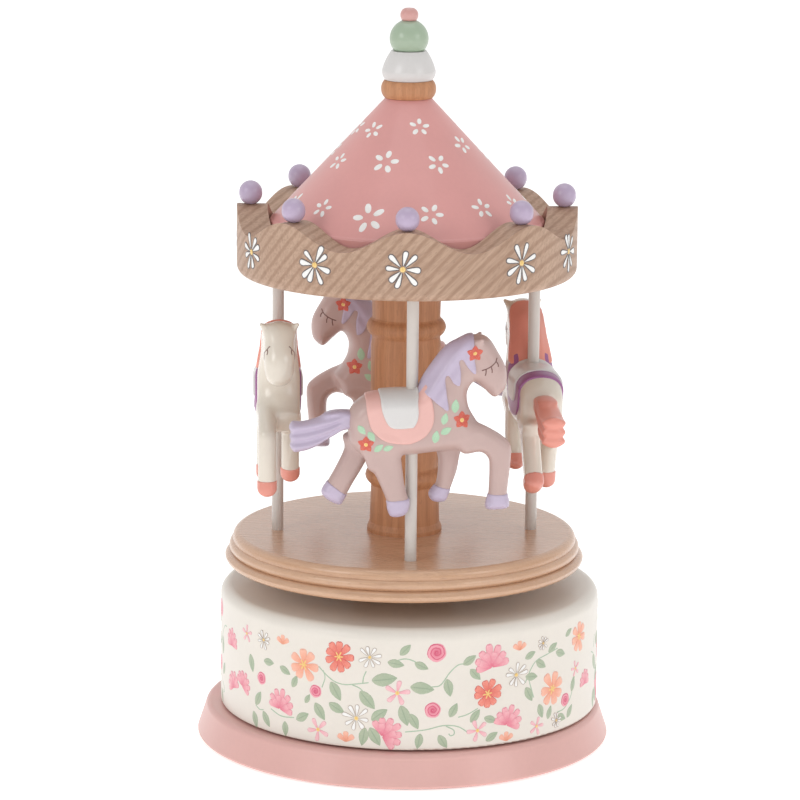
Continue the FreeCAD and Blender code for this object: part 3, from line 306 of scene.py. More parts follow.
def make_finishes():
    """Every material of the object, by name."""
    finishes = {name: lacquer(name + "_finish", *row) for name, row in LACQUERS.items()}
    finishes.update({name: painted(name + "_paint", *row) for name, row in PAINTS.items()})
    finishes["rose"] = swirled("rose_paint", (238, 164, 176), (212, 74, 112))
    finishes["natural_wood"] = wood(
        "turned_wood", (214, 174, 143), (192, 146, 110), (144, 98, 68), (0, 0, 12),
        period=3.2, fibre=0.8, figure=0.5, rough=0.24, coat=0.55)
    finishes["warm_wood"] = wood(
        "column_wood", (206, 148, 106), (178, 118, 78), (130, 80, 50), (0, 90, 0),
        period=2.6, wobble=2.0, fibre=0.8, figure=0.35)
    finishes["canopy"] = wood(
        "canopy_wood", (194, 162, 139), (156, 120, 96), (112, 80, 60), (20, 45, 0), period=2.4, wobble=0.8)
    finishes["felt"] = felt("grey_felt", (150, 146, 140))
    finishes["brass"] = metal("brass_metal", (206, 170, 96), 0.28)
    finishes["steel"] = metal("steel_metal", (176, 178, 182), 0.3)
    finishes["zinc"] = metal("zinc_plate", (158, 160, 160), 0.42)
    finishes["dark_plastic"] = plastic("dark_plastic_moulded", (52, 50, 52))
    return finishes


FINISHES = make_finishes()

# CAD nodes whose own finish differs from that of their material slot.
NODE_FINISH = {"cone_roof": "roof", "finial_knob": "knob", "canopy_ring": "canopy"}


def dress_cad_nodes():
    """Gives every CAD node the procedural finish of its material slot, or its own."""
    for name, piece in NODES.items():
        for slot in piece.material_slots:
            slot_name = slot.material.name.split(".")[0]
            finish = NODE_FINISH.get(name, slot_name)
            slot.material = FINISHES[finish]


# --------------------------------------------------------------------- meshes


def make_piece(name, points, faces, material, body, paint=None):
    """A smooth mesh piece from points in mm that rides on a CAD body."""
    mesh = bpy.data.meshes.new(name)
    mesh.from_pydata((np.asarray(points) * MM).tolist(), [], np.asarray(faces).tolist())
    if paint is not None:
        layer = mesh.attributes.new("paint", "FLOAT_VECTOR", "POINT")
        layer.data.foreach_set("vector", np.asarray(paint, np.float32).ravel())
    mesh.polygons.foreach_set("use_smooth", np.ones(len(mesh.polygons), bool))
    mesh.materials.append(material)
    piece = bpy.data.objects.new(name, mesh)
    bpy.context.scene.collection.objects.link(piece)
    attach(piece, body)
    return piece


def curve_through(points, closed=True, steps=6):
    """A smooth line through points (Catmull-Rom)."""
    points = np.asarray(points, float)
    if closed:
        ring = np.vstack([points[-1:], points, points[:2]])
    else:
        ring = np.vstack([2 * points[:1] - points[1:2], points, 2 * points[-1:] - points[-2:-1]])
    share = np.linspace(0, 1, steps, endpoint=False)[:, None]
    line = []
    for before, start, end, after in zip(ring[:-3], ring[1:-2], ring[2:-1], ring[3:]):
        bend = 2 * before - 5 * start + 4 * end - after
        twist = 3 * start - before - 3 * end + after
        line.append(start + 0.5 * share * (end - before + share * (bend + share * twist)))
    if not closed:
        line.append(points[-1:])
    return np.vstack(line)


# -------------------------------------------------------------- painted shapes


class Artwork:
    """Petals, leaves and strokes of one colour, gathered into one thin mesh on a curved surface."""

    def __init__(self, surface):
        self.surface = surface
        self.points = []
        self.faces = []
        self.paint = []

    def add_grid(self, place, across, up, lift, paint):
        """Adds a grid of points. Rows run along the shape, and columns run across it to the right."""
        rows, columns = across.shape
        start = sum(len(part) for part in self.points)
        self.points.append(self.surface(place, across, up, lift).reshape(-1, 3))
        self.paint.append(paint.reshape(-1, 3))
        index = start + np.arange(rows * columns).reshape(rows, columns)
        corners = [index[:-1, :-1], index[:-1, 1:], index[1:, 1:], index[1:, :-1]]
        if self.surface.mirrored:
            corners.reverse()
        self.faces.append(np.stack(corners, axis=-1).reshape(-1, 4))

    def finish(self, name, finish, body, slot):
        faces = np.vstack(self.faces)
        points = np.vstack(self.points)
        return make_piece(name, points, faces, FINISHES[finish], body, np.vstack(self.paint))


def paint_values(along, across):
    """What a painted material reads at each point: along the shape and across it. The third value is free."""
    return np.stack([along, across, np.zeros_like(across)], axis=-1)


def profile(share, shape):
    """How wide a petal is, from 0 to 1, at a share of its length."""
    if shape == "leaf":
        return np.sin(math.pi * share**0.85) ** 0.85
    if shape == "oval":
        return np.sqrt(np.clip(1 - (2 * share - 1) ** 2, 0, 1))
    return (0.12 + 0.88 * share**0.9) * np.sqrt(np.clip(1 - share**7, 0, 1))


def petal_lines(inner, length, half_width, heading, shape, notch, bend, share, side):
    """Points of a petal about its flower's middle: across to the right, and up."""
    reach = inner + length * share * (1 - notch * np.exp(-((side / 0.4) ** 2)) * share**6)
    offset = side * half_width * profile(share, shape) + bend * length * share**2
    angle = math.radians(heading)
    across = reach * math.sin(angle) + offset * math.cos(angle)
    up = reach * math.cos(angle) - offset * math.sin(angle)
    return across, up


def petal(art, place, inner, length, half_width, heading, lift, shape, notch=0.0, bend=0.0):
    """A petal or leaf that points to heading, measured clockwise from straight up."""
    along = (1 - np.cos(np.linspace(0, math.pi, 10))) / 2
    sides = np.sin(np.linspace(-math.pi / 2, math.pi / 2, 7))
    share, side = np.meshgrid(along, sides, indexing="ij")
    across, up = petal_lines(inner, length, half_width, heading, shape, notch, bend, share, side)
    rim = (np.abs(side) > 0.999) | (share < 0.001) | (share > 0.999)
    height = np.where(rim, SUNK, lift)
    art.add_grid(place, across, up, height, paint_values(share, side))


def petal_rim(art, place, inner, length, half_width, heading, lift, bend, width):
    """A thin line round a drop-shaped petal's edge."""
    rise = (1 - np.cos(np.linspace(0.25, math.pi, 9))) / 2
    share = np.concatenate([rise, rise[-2::-1]])
    side = np.concatenate([-np.ones(9), np.ones(8)])
    across, up = petal_lines(inner, length, half_width, heading, "drop", 0.0, bend, share, side)
    stroke(art, place, np.column_stack([across, up]), width, lift, 2)


def stroke(art, place, points, width, lift, steps=5):
    """A painted line of even width through points about a place."""
    line = curve_through(points, False, steps)
    run = np.gradient(line, axis=0)
    run /= np.maximum(np.linalg.norm(run, axis=1, keepdims=True), 1e-9)
    right = np.column_stack([run[:, 1], -run[:, 0]])
    offsets = np.array([-0.5, -0.3, 0.3, 0.5]) * width
    across = line[:, :1] + right[:, :1] * offsets
    up = line[:, 1:] + right[:, 1:] * offsets
    height = np.broadcast_to([SUNK, lift, lift, SUNK], across.shape)
    share = np.broadcast_to(np.linspace(0, 0.8, len(line))[:, None], across.shape)
    art.add_grid(place, across, up, height, paint_values(share, np.full_like(across, 0.4)))


def spot(art, place, radius, lift, wobble=0.0):
    """A round dab of paint, a little domed."""
    reach = np.sin(np.linspace(0.02, 1, 6) * math.pi / 2)
    angles = np.linspace(0, 2 * math.pi, 19)
    share, angle = np.meshgrid(reach, angles, indexing="ij")
    size = radius * share * (1 + wobble * np.sin(5 * angle + radius * 9))
    height = np.where(share > 0.999, SUNK, lift * (1.15 - 0.4 * share**2))
    across = size * np.sin(angle)
    up = size * np.cos(angle)
    paint = paint_values(share, angle / math.pi - 1)
    art.add_grid(place, across[::-1], up[::-1], height[::-1], paint[::-1])


def wall_surface(node):
    """The upright round wall of a node. A place is an angle from the front towards +X, and a height."""
    low, high = box_mm(node)
    centre = (low + high) / 2
    radius = (high.x - low.x) / 2

    def surface(place, across, up, lift):
        angle = math.radians(place[0]) + across / radius
        reach = radius + lift
        x = centre.x + reach * np.sin(angle)
        y = centre.y - reach * np.cos(angle)
        return np.stack([x, y, place[1] + up], axis=-1)

    surface.mirrored = False
    return surface


ROOF_TOP_RADIUS = 6.3
ROOF_SKIRT_TOP = 144.2


def roof_surface():
    """The slope of the conical roof. Up is along the slope."""
    low, high = box_mm("cone_roof")
    wide = (high.x - low.x) / 2
    fall = (wide - ROOF_TOP_RADIUS) / (high.z - ROOF_SKIRT_TOP)
    slope = math.hypot(1, fall)

    def surface(place, across, up, lift):
        level = place[1] + up / slope
        reach = ROOF_TOP_RADIUS + (high.z - level) * fall
        angle = math.radians(place[0]) + across / reach
        reach = reach + lift / slope
        height = level + lift * fall / slope
        return np.stack([reach * np.sin(angle), -reach * np.cos(angle), height], axis=-1)

    surface.mirrored = False
    return surface


# Drum painting. Each row is an angle from the front towards +X, a height and a size.
DAISIES = [(-48.6, 35.2, 2.9), (-11.6, 35.3, 3.3), (-15.5, 18.2, 4.2), (33.3, 28.7, 3.9), (43.4, 36.0, 2.2),
           (49.9, 13.2, 2.4)]
PEACH_FLOWERS = [(-32.6, 31.1, 4.3), (47.8, 22.5, 4.6), (61.9, 34.4, 4.0)]
CORAL_FLOWERS = [(-21.0, 34.7, 4.4), (23.7, 24.6, 4.3)]
# A peony also has the way that it opens, clockwise from up.
PEONIES = [(-67.7, 31.3, 3.6, 0), (-41.1, 19.4, 4.2, 12), (24.6, 34.2, 4.8, -10), (30.9, 17.2, 4.2, 20),
           (-5.7, 15.0, 4.4, 55), (-59.2, 21.4, 3.6, 30), (-67.0, 19.6, 3.6, -20), (67.0, 21.4, 3.2, 0)]
ROSES = [(-28.5, 24.3, 1.8), (-49.6, 24.3, 1.8), (8.0, 36.9, 2.6), (7.0, 21.1, 2.2), (54.3, 18.1, 1.9)]
STARS = [(-57.3, 35.2, 2.4), (-27.6, 13.8, 3.2), (-3.4, 25.8, 3.4), (20.6, 14.7, 3.0), (41.3, 13.2, 2.5),
         (60.0, 25.7, 2.2)]
BUDS = [(-40.5, 36.7, 2.0), (-18.7, 12.8, 2.2), (34.4, 36.6, 2.0), (30.1, 12.0, 2.0)]
# A leaf is an angle, a height, its heading and its length.
LEAVES = [
    (-54.8, 27.9, 166, 4.2), (-46.7, 29.4, 92, 3.4), (-39.9, 28.5, 112, 3.4), (-36.0, 25.6, 28, 3.2),
    (-4.3, 33.9, 100, 3.8), (-1.4, 37.4, 45, 3.4), (-7.8, 29.2, 85, 5.8), (-22.2, 25.5, 150, 4.8),
    (-12.7, 23.8, 143, 5.2), (-31.4, 21.6, 30, 2.5), (-27.4, 19.2, 150, 4.5), (-22.1, 20.6, 120, 4.2),
    (-51.4, 18.0, 30, 4.0), (-52.8, 12.5, 158, 3.9), (-47.7, 13.6, 147, 4.0), (-33.4, 16.3, 62, 3.9),
    (-39.4, 12.5, 175, 3.5), (-9.1, 19.4, 50, 4.5), (-13.2, 13.7, 190, 4.3), (-10.2, 13.9, 150, 4.7),
    (-1.4, 20.1, 158, 4.9), (3.2, 33.4, 120, 3.4), (3.3, 27.3, 95, 5.4), (11.5, 27.5, 170, 4.2),
    (17.6, 34.1, 60, 3.6), (19.4, 30.5, 140, 3.6), (38.1, 33.3, 70, 3.2), (42.4, 30.5, 120, 3.6),
    (38.6, 27.4, 100, 3.6), (37.9, 23.0, 150, 4.0), (47.4, 33.9, 60, 3.4), (51.1, 31.9, 110, 3.6),
    (55.3, 36.6, 60, 2.8), (58.5, 21.3, 20, 3.6), (52.2, 13.7, 120, 3.4), (56.7, 14.1, 40, 3.4),
    (42.8, 17.5, 160, 3.6), (46.5, 15.8, 20, 3.2), (19.6, 18.5, 40, 3.6), (24.4, 17.5, 110, 3.4),
    (24.9, 12.4, 60, 3.4), (13.0, 20.5, 30, 3.6), (1.4, 18.4, 150, 4.0), (3.1, 12.9, 190, 3.6),
    (9.8, 12.6, 150, 3.6),
]
# A vine is a list of angles and heights.
VINES = [
    [(-27.5, 31.3), (-24.6, 29.0), (-22.0, 27.6), (-19.0, 27.2), (-16.0, 27.6), (-11.8, 28.3)],
    [(-13.6, 27.9), (-13.4, 29.6), (-12.6, 31.4)],
    [(-17.0, 27.4), (-14.6, 26.6), (-13.2, 25.4)],
    [(3.0, 27.3), (7.0, 27.5), (9.3, 28.0), (11.9, 31.2), (14.4, 33.2), (17.0, 33.5)],
    [(-1.0, 15.1), (5.1, 15.7), (10.1, 16.7), (14.6, 16.2), (18.2, 14.0)],
    [(11.0, 16.5), (13.2, 15.4), (13.4, 14.2), (12.4, 13.8), (11.8, 14.4)],
    [(-45.3, 16.6), (-41.0, 15.4), (-36.0, 15.8)],
    [(-52.4, 16.2), (-50.6, 15.4), (-48.6, 15.6)],
    [(-5.8, 33.9), (-1.6, 35.2), (1.4, 34.6), (3.8, 33.0)],
    [(-26.4, 25.6), (-25.4, 28.4), (-26.0, 30.4)],
    [(36.6, 26.0), (38.6, 29.4), (41.0, 31.6), (45.4, 32.6), (50.0, 33.4)],
    [(40.0, 21.4), (38.8, 24.4), (38.0, 26.6)],
    [(50.4, 15.4), (54.0, 15.8), (57.6, 18.6), (59.6, 23.6)],
    [(14.6, 18.8), (17.4, 19.4), (20.6, 20.8)],
]
DAISY_PETALS = 8
STAR_TURN = 40        # how far a star's petals are turned from one flower to the next
DRUM_RADIUS = (box_mm("drum_shell")[1].x - box_mm("drum_shell")[0].x) / 2


def daisy(pieces, place, radius, line, luck):
    """White petals with a drawn edge, each a little off, round a yellow middle."""
    step = 360.0 / DAISY_PETALS
    first = luck.uniform(0, step)
    for number in range(DAISY_PETALS):
        heading = first + step * number + luck.uniform(-0.24, 0.24) * step
        length = radius * luck.uniform(0.72, 1.0)
        half_width = radius * luck.uniform(0.16, 0.2)
        bend = luck.uniform(-0.06, 0.06)
        height = 0.07 + 0.004 * number
        rim = (radius * 0.16, length * 0.86, half_width, heading)
        petal(pieces["petals"], place, *rim, height, "drop", bend=bend)
        petal_rim(pieces["lines"], place, *rim, height + 0.03, bend, line)
    spot(pieces["middles"], place, radius * 0.13, 0.16, 0.06)


def big_flower(petals_art, middle_art, place, radius, count, luck, wide, notch):
    """A garden flower: broad petals that overlap, and a middle with short stamens."""
    first = luck.uniform(0, 360)
    for number in range(count):
        heading = first + 360.0 / count * number + luck.uniform(-6, 6)
        length = radius * luck.uniform(0.86, 1.04)
        raised = PETAL_LIFT + PETAL_LAYER * (number % 3)
        petal(petals_art, place, 0.12, length, radius * wide, heading, raised, "drop", notch)
    for number in range(6):
        length = radius * luck.uniform(0.2, 0.34)
        petal(middle_art, place, 0.1, length, radius * 0.045, first + 60 * number, 0.12, "oval")
    spot(middle_art, place, radius * 0.1, 0.13, 0.1)


def peony(art, place, radius, opening, luck):
    """Petals that fan out to one side, in two rows."""
    turn = math.radians(opening)
    back = 0.5 * radius
    foot = (place[0] - math.degrees(back * math.sin(turn) / DRUM_RADIUS), place[1] - back * math.cos(turn))
    for spread, count, size, height in ((84, 7, 1.35, PETAL_LIFT), (58, 4, 0.95, PETAL_LIFT + 0.02)):
        for number in range(count):
            lean = -spread + 2 * spread * number / (count - 1)
            length = radius * size * (1 - 0.25 * abs(lean) / 90) * luck.uniform(0.93, 1.05)
            raised = height + PETAL_LAYER * (number % 3)
            petal(art, foot, 0.1, length, radius * 0.3, opening + lean, raised, "drop", 0.05)


def star(petals_art, middle_art, place, radius, turn):
    """Five slim petals."""
    for number in range(5):
        petal(petals_art, place, 0.1, radius, radius * 0.27, turn + 72 * number, LEAF_LIFT, "drop", bend=0.05)
    spot(middle_art, place, radius * 0.17, 0.13, 0.08)


# Where the painting repeats, as a turn and how far it reaches: all of it on the front and the back, and its
# middle at the sides.
DRUM_ROUNDS = ((0.0, 180.0), (180.0, 180.0), (90.0, 17.0), (270.0, 17.0))


DRUM_LOOKS = {
    "leaves": ("leaf", "green_lacquer"), "vines": ("vine", "green_lacquer"),
    "coral": ("coral_flower", "pink_lacquer"), "peach": ("peach_flower", "pink_lacquer"),
    "peonies": ("peony", "pink_lacquer"), "roses": ("rose", "pink_lacquer"),
    "stars": ("star", "pink_lacquer"), "petals": ("white_petal", "white_lacquer"),
    "lines": ("fine_line", "dark_plastic"), "middles": ("yellow", "natural_wood"),
}


def paint_greenery(art, near, turn, reach, luck):
    """The leaves and vines of one round."""
    for angle, height, heading, length in near(LEAVES):
        back = math.radians(heading)
        half = length / 2
        base = (angle - math.degrees(half * math.sin(back) / DRUM_RADIUS), height - half * math.cos(back))
        bend = luck.uniform(-0.06, 0.06)
        petal(art["leaves"], base, 0.0, length * 1.2, length * 0.33, heading, 0.045, "leaf", bend=bend)
    for vine in VINES:
        if abs(vine[0][0]) <= reach and abs(vine[-1][0]) <= reach:
            start = vine[0]
            spread = math.radians(1) * DRUM_RADIUS
            points = [((angle - start[0]) * spread, height - start[1]) for angle, height in vine]
            stroke(art["vines"], (start[0] + turn, start[1]), points, 0.36, 0.03)


def paint_flowers(art, near, luck):
    """The coloured flowers of one round."""
    for angle, height, radius in near(CORAL_FLOWERS):
        big_flower(art["coral"], art["middles"], (angle, height), radius, 9, luck, 0.32, 0.07)
    for angle, height, radius in near(PEACH_FLOWERS):
        big_flower(art["peach"], art["middles"], (angle, height), radius * 1.1, 7, luck, 0.35, 0.1)
    for angle, height, radius, opening in near(PEONIES):
        peony(art["peonies"], (angle, height), radius, opening, luck)
    for angle, height, radius in near(ROSES):
        spot(art["roses"], (angle, height), radius, 0.09, 0.03)
    for number, (angle, height, radius) in enumerate(near(STARS)):
        star(art["stars"], art["middles"], (angle, height), radius, STAR_TURN * number)
    for angle, height, radius in near(BUDS):
        for lean in (-50, 0, 50):
            foot = (angle, height - radius * 0.6)
            petal(art["peach"], foot, 0.0, radius * 1.3, radius * 0.5, lean, LEAF_LIFT, "drop")


def paint_drum():
    """The flowers, leaves and vines that run round the drum."""
    surface = wall_surface("drum_shell")
    art = {name: Artwork(surface) for name in DRUM_LOOKS}
    luck = random.Random(7)
    for turn, reach in DRUM_ROUNDS:
        def near(rows):
            return [(row[0] + turn, *row[1:]) for row in rows if abs(row[0]) <= reach]

        paint_greenery(art, near, turn, reach, luck)
        paint_flowers(art, near, luck)
        for angle, height, radius in near(DAISIES if reach > QUARTER else []):
            daisy(art, (angle, height), radius, 0.12, luck)
    for name, (finish, slot) in DRUM_LOOKS.items():
        art[name].finish("drum_" + name, finish, "music_box", slot)


CANOPY_DAISIES = (-63.8, -31.6, -1.4, 40.7, 69.3, 101.0, 134.0, 167.0, 200.0, 231.0, 264.0)
CANOPY_DAISY_HEIGHT = 138.6
CANOPY_DAISY_RADIUS = 5.6


def paint_canopy():
    """The white daisies round the canopy."""
    surface = wall_surface("canopy_ring")
    art = {name: Artwork(surface) for name in ("petals", "lines", "middles")}
    luck = random.Random(11)
    for angle in CANOPY_DAISIES:
        place = (angle, CANOPY_DAISY_HEIGHT + luck.uniform(-0.3, 0.3))
        daisy(art, place, CANOPY_DAISY_RADIUS, 0.34, luck)
    art["petals"].finish("canopy_daisy_petals", "white_petal", "carousel", "white_lacquer")
    art["lines"].finish("canopy_daisy_lines", "dark_line", "carousel", "dark_plastic")
    art["middles"].finish("canopy_daisy_middles", "yellow", "carousel", "natural_wood")


# Roof flowers: an angle, a height and a size. The front ones were placed one by one.
ROOF_FLOWERS = [
    (-45.1, 170.1, 2.9), (14.2, 171.4, 3.0), (59.2, 166.3, 3.2), (-61.7, 161.7, 3.0), (-17.1, 163.0, 3.9),
    (23.5, 162.6, 3.3), (-46.2, 150.8, 3.2), (-18.6, 149.7, 4.7), (11.6, 150.8, 3.6), (40.3, 151.4, 3.3),
    (66.0, 151.0, 3.2), (98.0, 150.0, 4.4), (128.0, 151.2, 3.4), (158.0, 150.2, 3.8), (190.0, 151.0, 4.5),
    (222.0, 150.4, 3.4), (254.0, 151.0, 4.0), (286.0, 150.4, 3.3), (96.0, 162.4, 3.6), (142.0, 162.0, 3.2),
    (186.0, 162.8, 3.8), (232.0, 162.0, 3.4), (268.0, 163.2, 3.5), (112.0, 171.0, 2.9), (166.0, 170.2, 3.0),
    (226.0, 171.0, 2.9), (278.0, 169.8, 2.9),
]


def paint_roof():
    """The white flowers on the roof, five separate dabs each."""
    art = Artwork(roof_surface())
    luck = random.Random(5)
    for angle, height, radius in ROOF_FLOWERS:
        first = luck.uniform(0, 72)
        for number in range(5):
            heading = first + 72 * number + luck.uniform(-5, 5)
            length = radius * luck.uniform(0.58, 0.7)
            petal(art, (angle, height), radius * 0.32, length, radius * 0.21, heading, 0.09, "oval")
    art.finish("roof_flower_petals", "white_petal", "carousel", "white_lacquer")


# --------------------------------------------------------------------- horses

# A horse's own frame: x forward from its pole, y to its left, z up from its standing hooves.
VOXEL = 0.3
FIELD_LOW = (-34.2, -8.1, -3.6)
FIELD_HIGH = (28.5, 8.1, 49.8)
LOWEST_HOOF = -1.9

BODY_OUTLINE = [
    (-15.5, 28.0), (-12.5, 30.4), (-9, 31.2), (-4, 31.6), (0, 31.6), (1.7, 32.6), (4, 36.6), (7.6, 41.6),
    (10.8, 44.6), (14.8, 46.4), (18.4, 46.6), (20.6, 45.2), (22.7, 41.9), (24.5, 38.6), (25.1, 36),
    (24.9, 33.2), (24, 31.3), (21.7, 29.9), (18.8, 32.4), (16.4, 34), (14.6, 31.2), (15, 27.2), (17, 23.6),
    (18.6, 21),
    (15.5, 16.2), (9, 15.4), (4, 14.8), (-1, 14.2), (-6, 14.2), (-11.5, 13.5), (-16, 17), (-17, 21),
    (-17, 25),
]
OUTER_FORELEG = [
    (12, 24), (17.4, 23.4), (22, 21.2), (25, 19), (26.2, 17), (26.2, 13), (25.6, 7), (25.4, 4), (25.8, 2),
    (25.2, 0.4), (20.5, 0.1), (19.8, 1.6), (20.4, 4.4), (20.6, 11), (20.2, 14), (18, 15.6), (13, 15.6),
]
INNER_FORELEG = [
    (16, 17), (13.4, 14.6), (12.4, 9.5), (11.2, 5.8), (10, 2.6), (9, 0.8), (6, 0.9), (5, 3), (6.8, 6),
    (7.3, 11.4), (6.8, 15), (7, 20), (14, 21),
]
OUTER_HIND_LEG = [
    (-2.9, 13.4), (-1.9, 6.2), (-0.7, 1.6), (-1.9, -1.4), (-5.2, -1.9), (-6.3, 0), (-6.6, 2), (-8.3, 6.2),
    (-10, 9.6), (-12, 11.7), (-13, 20), (-4, 20),
]
INNER_HIND_LEG = [
    (-12.4, 11), (-15.4, 5.8), (-18.1, 0.9), (-19.1, -0.1), (-21.9, 1.1), (-23.7, 3.3), (-22.2, 6.2),
    (-19.8, 10.6), (-17.8, 15.2), (-17.6, 19.3), (-8, 20),
]
TAIL_OUTLINE = [
    (-15.5, 25.9), (-21.2, 26.1), (-24.6, 24.5), (-29, 23.3), (-32.2, 23.1), (-32.4, 20), (-31.9, 15.3),
    (-29.3, 15), (-25.6, 16.2), (-22.2, 18.6), (-18.5, 20.7), (-15.5, 21.8),
]
PAD_OUTLINE = [
    (-12.4, 33.5), (-12.4, 29.4), (-12, 25.9), (-10.7, 21.8), (-7.3, 19), (-2.5, 18.1), (0.6, 18.6),
    (3.9, 20.7), (5.6, 24.5), (5.3, 28.7), (4.3, 31.5), (2.4, 34.5),
]
SADDLE_OUTLINE = [
    (-8.8, 34), (-8.6, 30.2), (-8.1, 26.9), (-6.6, 23.5), (-4.6, 22.4), (-0.5, 22.6), (0.4, 23), (1.4, 25.2),
    (1.4, 28.7), (0.6, 34),
]
MANE_OUTLINE = [
    (1.2, 31.4), (3.0, 36.8), (6.6, 42.8), (10.2, 46.3), (13.6, 48.2), (15.9, 47.6), (16.1, 44.6),
    (16.2, 41.2), (16.7, 36.7), (14.6, 38.4), (13.2, 40.6), (12.2, 40.2), (12.6, 37.4), (12.4, 33.9),
    (10.8, 34.4),
    (9.4, 36.4), (8.5, 35.6), (8.9, 31.6), (9.4, 27.3), (7.2, 28.4), (4.6, 30.6), (2.8, 31.8),
]
CREST_OUTLINE = [
    (1.2, 31.4), (3, 36.8), (6.6, 42.8), (10.2, 46.3), (13.6, 48.2), (14.6, 46.6), (12.6, 43.6), (10, 40.2),
    (8, 36.5), (6.6, 32.6), (4, 31.2),
]
TRUNK_HALF_WIDTH = 5.8
LEG_HALF_WIDTH = 2.45
LEG_OFFSET = 3.25
LEGS = {"outer_fore": (OUTER_FORELEG, -LEG_OFFSET), "inner_fore": (INNER_FORELEG, LEG_OFFSET),
        "outer_hind": (OUTER_HIND_LEG, -LEG_OFFSET), "inner_hind": (INNER_HIND_LEG, LEG_OFFSET)}
# Each hoof: the leg that it is on, a point on its upper edge and the way down the leg.
HOOVES = (("outer_fore", (22.5, 4.3), (0.0, -1.0)), ("inner_fore", (8.6, 4.7), (-0.25, -0.97)),
          ("outer_hind", (-4.0, 2.7), (0.1, -0.99)), ("inner_hind", (-20.4, 5.0), (-0.6, -0.8)))


def smooth_step(value, start, end):
    share = np.clip((value - start) / (end - start), 0, 1)
    return share * share * (3 - 2 * share)


def join(one, other, blend=1.0):
    """Union of two fields with a soft fillet."""
    share = np.clip(0.5 + 0.5 * (other - one) / blend, 0, 1)
    return other + (one - other) * share - blend * share * (1 - share)


def meet(one, other, blend=0.25):
    """Intersection of two fields with a softened edge."""
    return -join(-one, -other, blend)


class Carving:
    """Signed distance fields of one horse, on one grid."""

    def __init__(self):
        self.axes = [np.arange(low, high, VOXEL, np.float32) for low, high in zip(FIELD_LOW, FIELD_HIGH)]
        self.plane_x, self.plane_z = np.meshgrid(self.axes[0], self.axes[2], indexing="ij")
        self.side = self.axes[1][None, :, None]

    def outline(self, points):
        """Distance to a closed outline in the x-z plane, negative inside."""
        line = curve_through(points, True, 5).astype(np.float32)
        nearest = np.full(self.plane_x.shape, 1e9, np.float32)
        inside = np.zeros(self.plane_x.shape, bool)
        for start, end in zip(line, np.roll(line, -1, axis=0)):
            run = end - start
            from_x = self.plane_x - start[0]
            from_z = self.plane_z - start[1]
            share = np.clip((from_x * run[0] + from_z * run[1]) / max(float(run @ run), 1e-9), 0, 1)
            gap = (from_x - share * run[0]) ** 2 + (from_z - share * run[1]) ** 2
            nearest = np.minimum(nearest, gap)
            crosses = (start[1] > self.plane_z) != (end[1] > self.plane_z)
            if crosses.any():
                reach = start[0] + (self.plane_z - start[1]) / (run[1] if run[1] else 1e-9) * run[0]
                inside ^= crosses & (self.plane_x < reach)
        return np.where(inside, -1, 1) * np.sqrt(nearest)

    def inflate(self, distance, half_width, rounding, centre=0.0):
        """A flat outline given a thickness, with edges rounded over the given depth."""
        width = np.broadcast_to(half_width, distance.shape)[:, None, :]
        edge = (np.maximum(0, rounding + distance) / rounding)[:, None, :]
        across = (self.side - centre) / width
        return (np.sqrt(edge * edge + across * across) - 1) * np.minimum(width, rounding)

    def half_plane(self, point, way):
        """Negative where a point lies further along way than point does."""
        distance = (self.plane_x - point[0]) * way[0] + (self.plane_z - point[1]) * way[1]
        return -distance[:, None, :] / math.hypot(*way)

    def cone(self, foot, tip, foot_radius, tip_radius):
        """A tapered rod with round ends."""
        run = np.subtract(tip, foot)
        gaps = [self.plane_x[:, None, :] - foot[0], self.side - foot[1], self.plane_z[:, None, :] - foot[2]]
        share = np.clip(sum(gap * step for gap, step in zip(gaps, run)) / float(run @ run), 0, 1)
        reach = np.sqrt(sum((gap - share * step) ** 2 for gap, step in zip(gaps, run)))
        return reach - (foot_radius + (tip_radius - foot_radius) * share)

    def mesh(self, field):
        """Points in mm and quads of a field's surface."""
        grid = openvdb.FloatGrid(1.0)
        grid.copyFromArray(np.ascontiguousarray(np.clip(field, -1.0, 1.0), dtype=np.float32))
        points, quads = grid.convertToQuads(isovalue=0.0)
        points = points * VOXEL + np.array(FIELD_LOW)
        corners = points[quads]
        turned = np.cross(corners[:, 2] - corners[:, 0], corners[:, 3] - corners[:, 1])
        volume = float((corners.mean(axis=1) * turned).sum())
        return points, (quads if volume > 0 else quads[:, ::-1])

    def heights(self, field):
        """How far the surface stands out at each point of the x-z plane, on the right and on the left."""
        found = []
        for direction in (1, -1):
            levels = field[:, ::direction, :]
            side = self.axes[1][::direction]
            solid = levels < 0
            first = np.clip(solid.argmax(axis=1), 1, len(side) - 1)
            here = np.take_along_axis(levels, first[:, None, :], axis=1)[:, 0, :]
            before = np.take_along_axis(levels, first[:, None, :] - 1, axis=1)[:, 0, :]
            share = np.clip(before / np.maximum(before - here, 1e-6), 0, 1)
            height = np.abs(side[first - 1] + share * (side[first] - side[first - 1]))
            found.append(np.where(solid.any(axis=1), height, 0.0))
        return found


def width_of_body(x, z):
    """Half width of the horse's trunk, neck and head."""
    neck = smooth_step(z, 29, 39) * smooth_step(x, -2, 6)
    head = smooth_step(x, 13, 18) * smooth_step(z, 27, 31)
    muzzle = smooth_step(-z, -39, -30) * head
    crown = smooth_step(z, 41.5, 46)
    return TRUNK_HALF_WIDTH - 1.0 * neck - 0.7 * head - 1.1 * muzzle + 0.9 * crown * smooth_step(x, 10, 16)


def tail_grooves(carving):
    """Waves across the tail that follow its curve."""
    back = -17 - carving.plane_x
    middle = 23.9 - 0.62 * back + 0.02 * back**2
    half = np.maximum(2 + 0.35 * back - 0.0145 * back**2, 1.5)
    share = (carving.plane_z - middle) / half
    depth = 0.15 * smooth_step(back, 0, 4)
    return (depth * np.cos(3.2 * math.pi * share))[:, None, :]


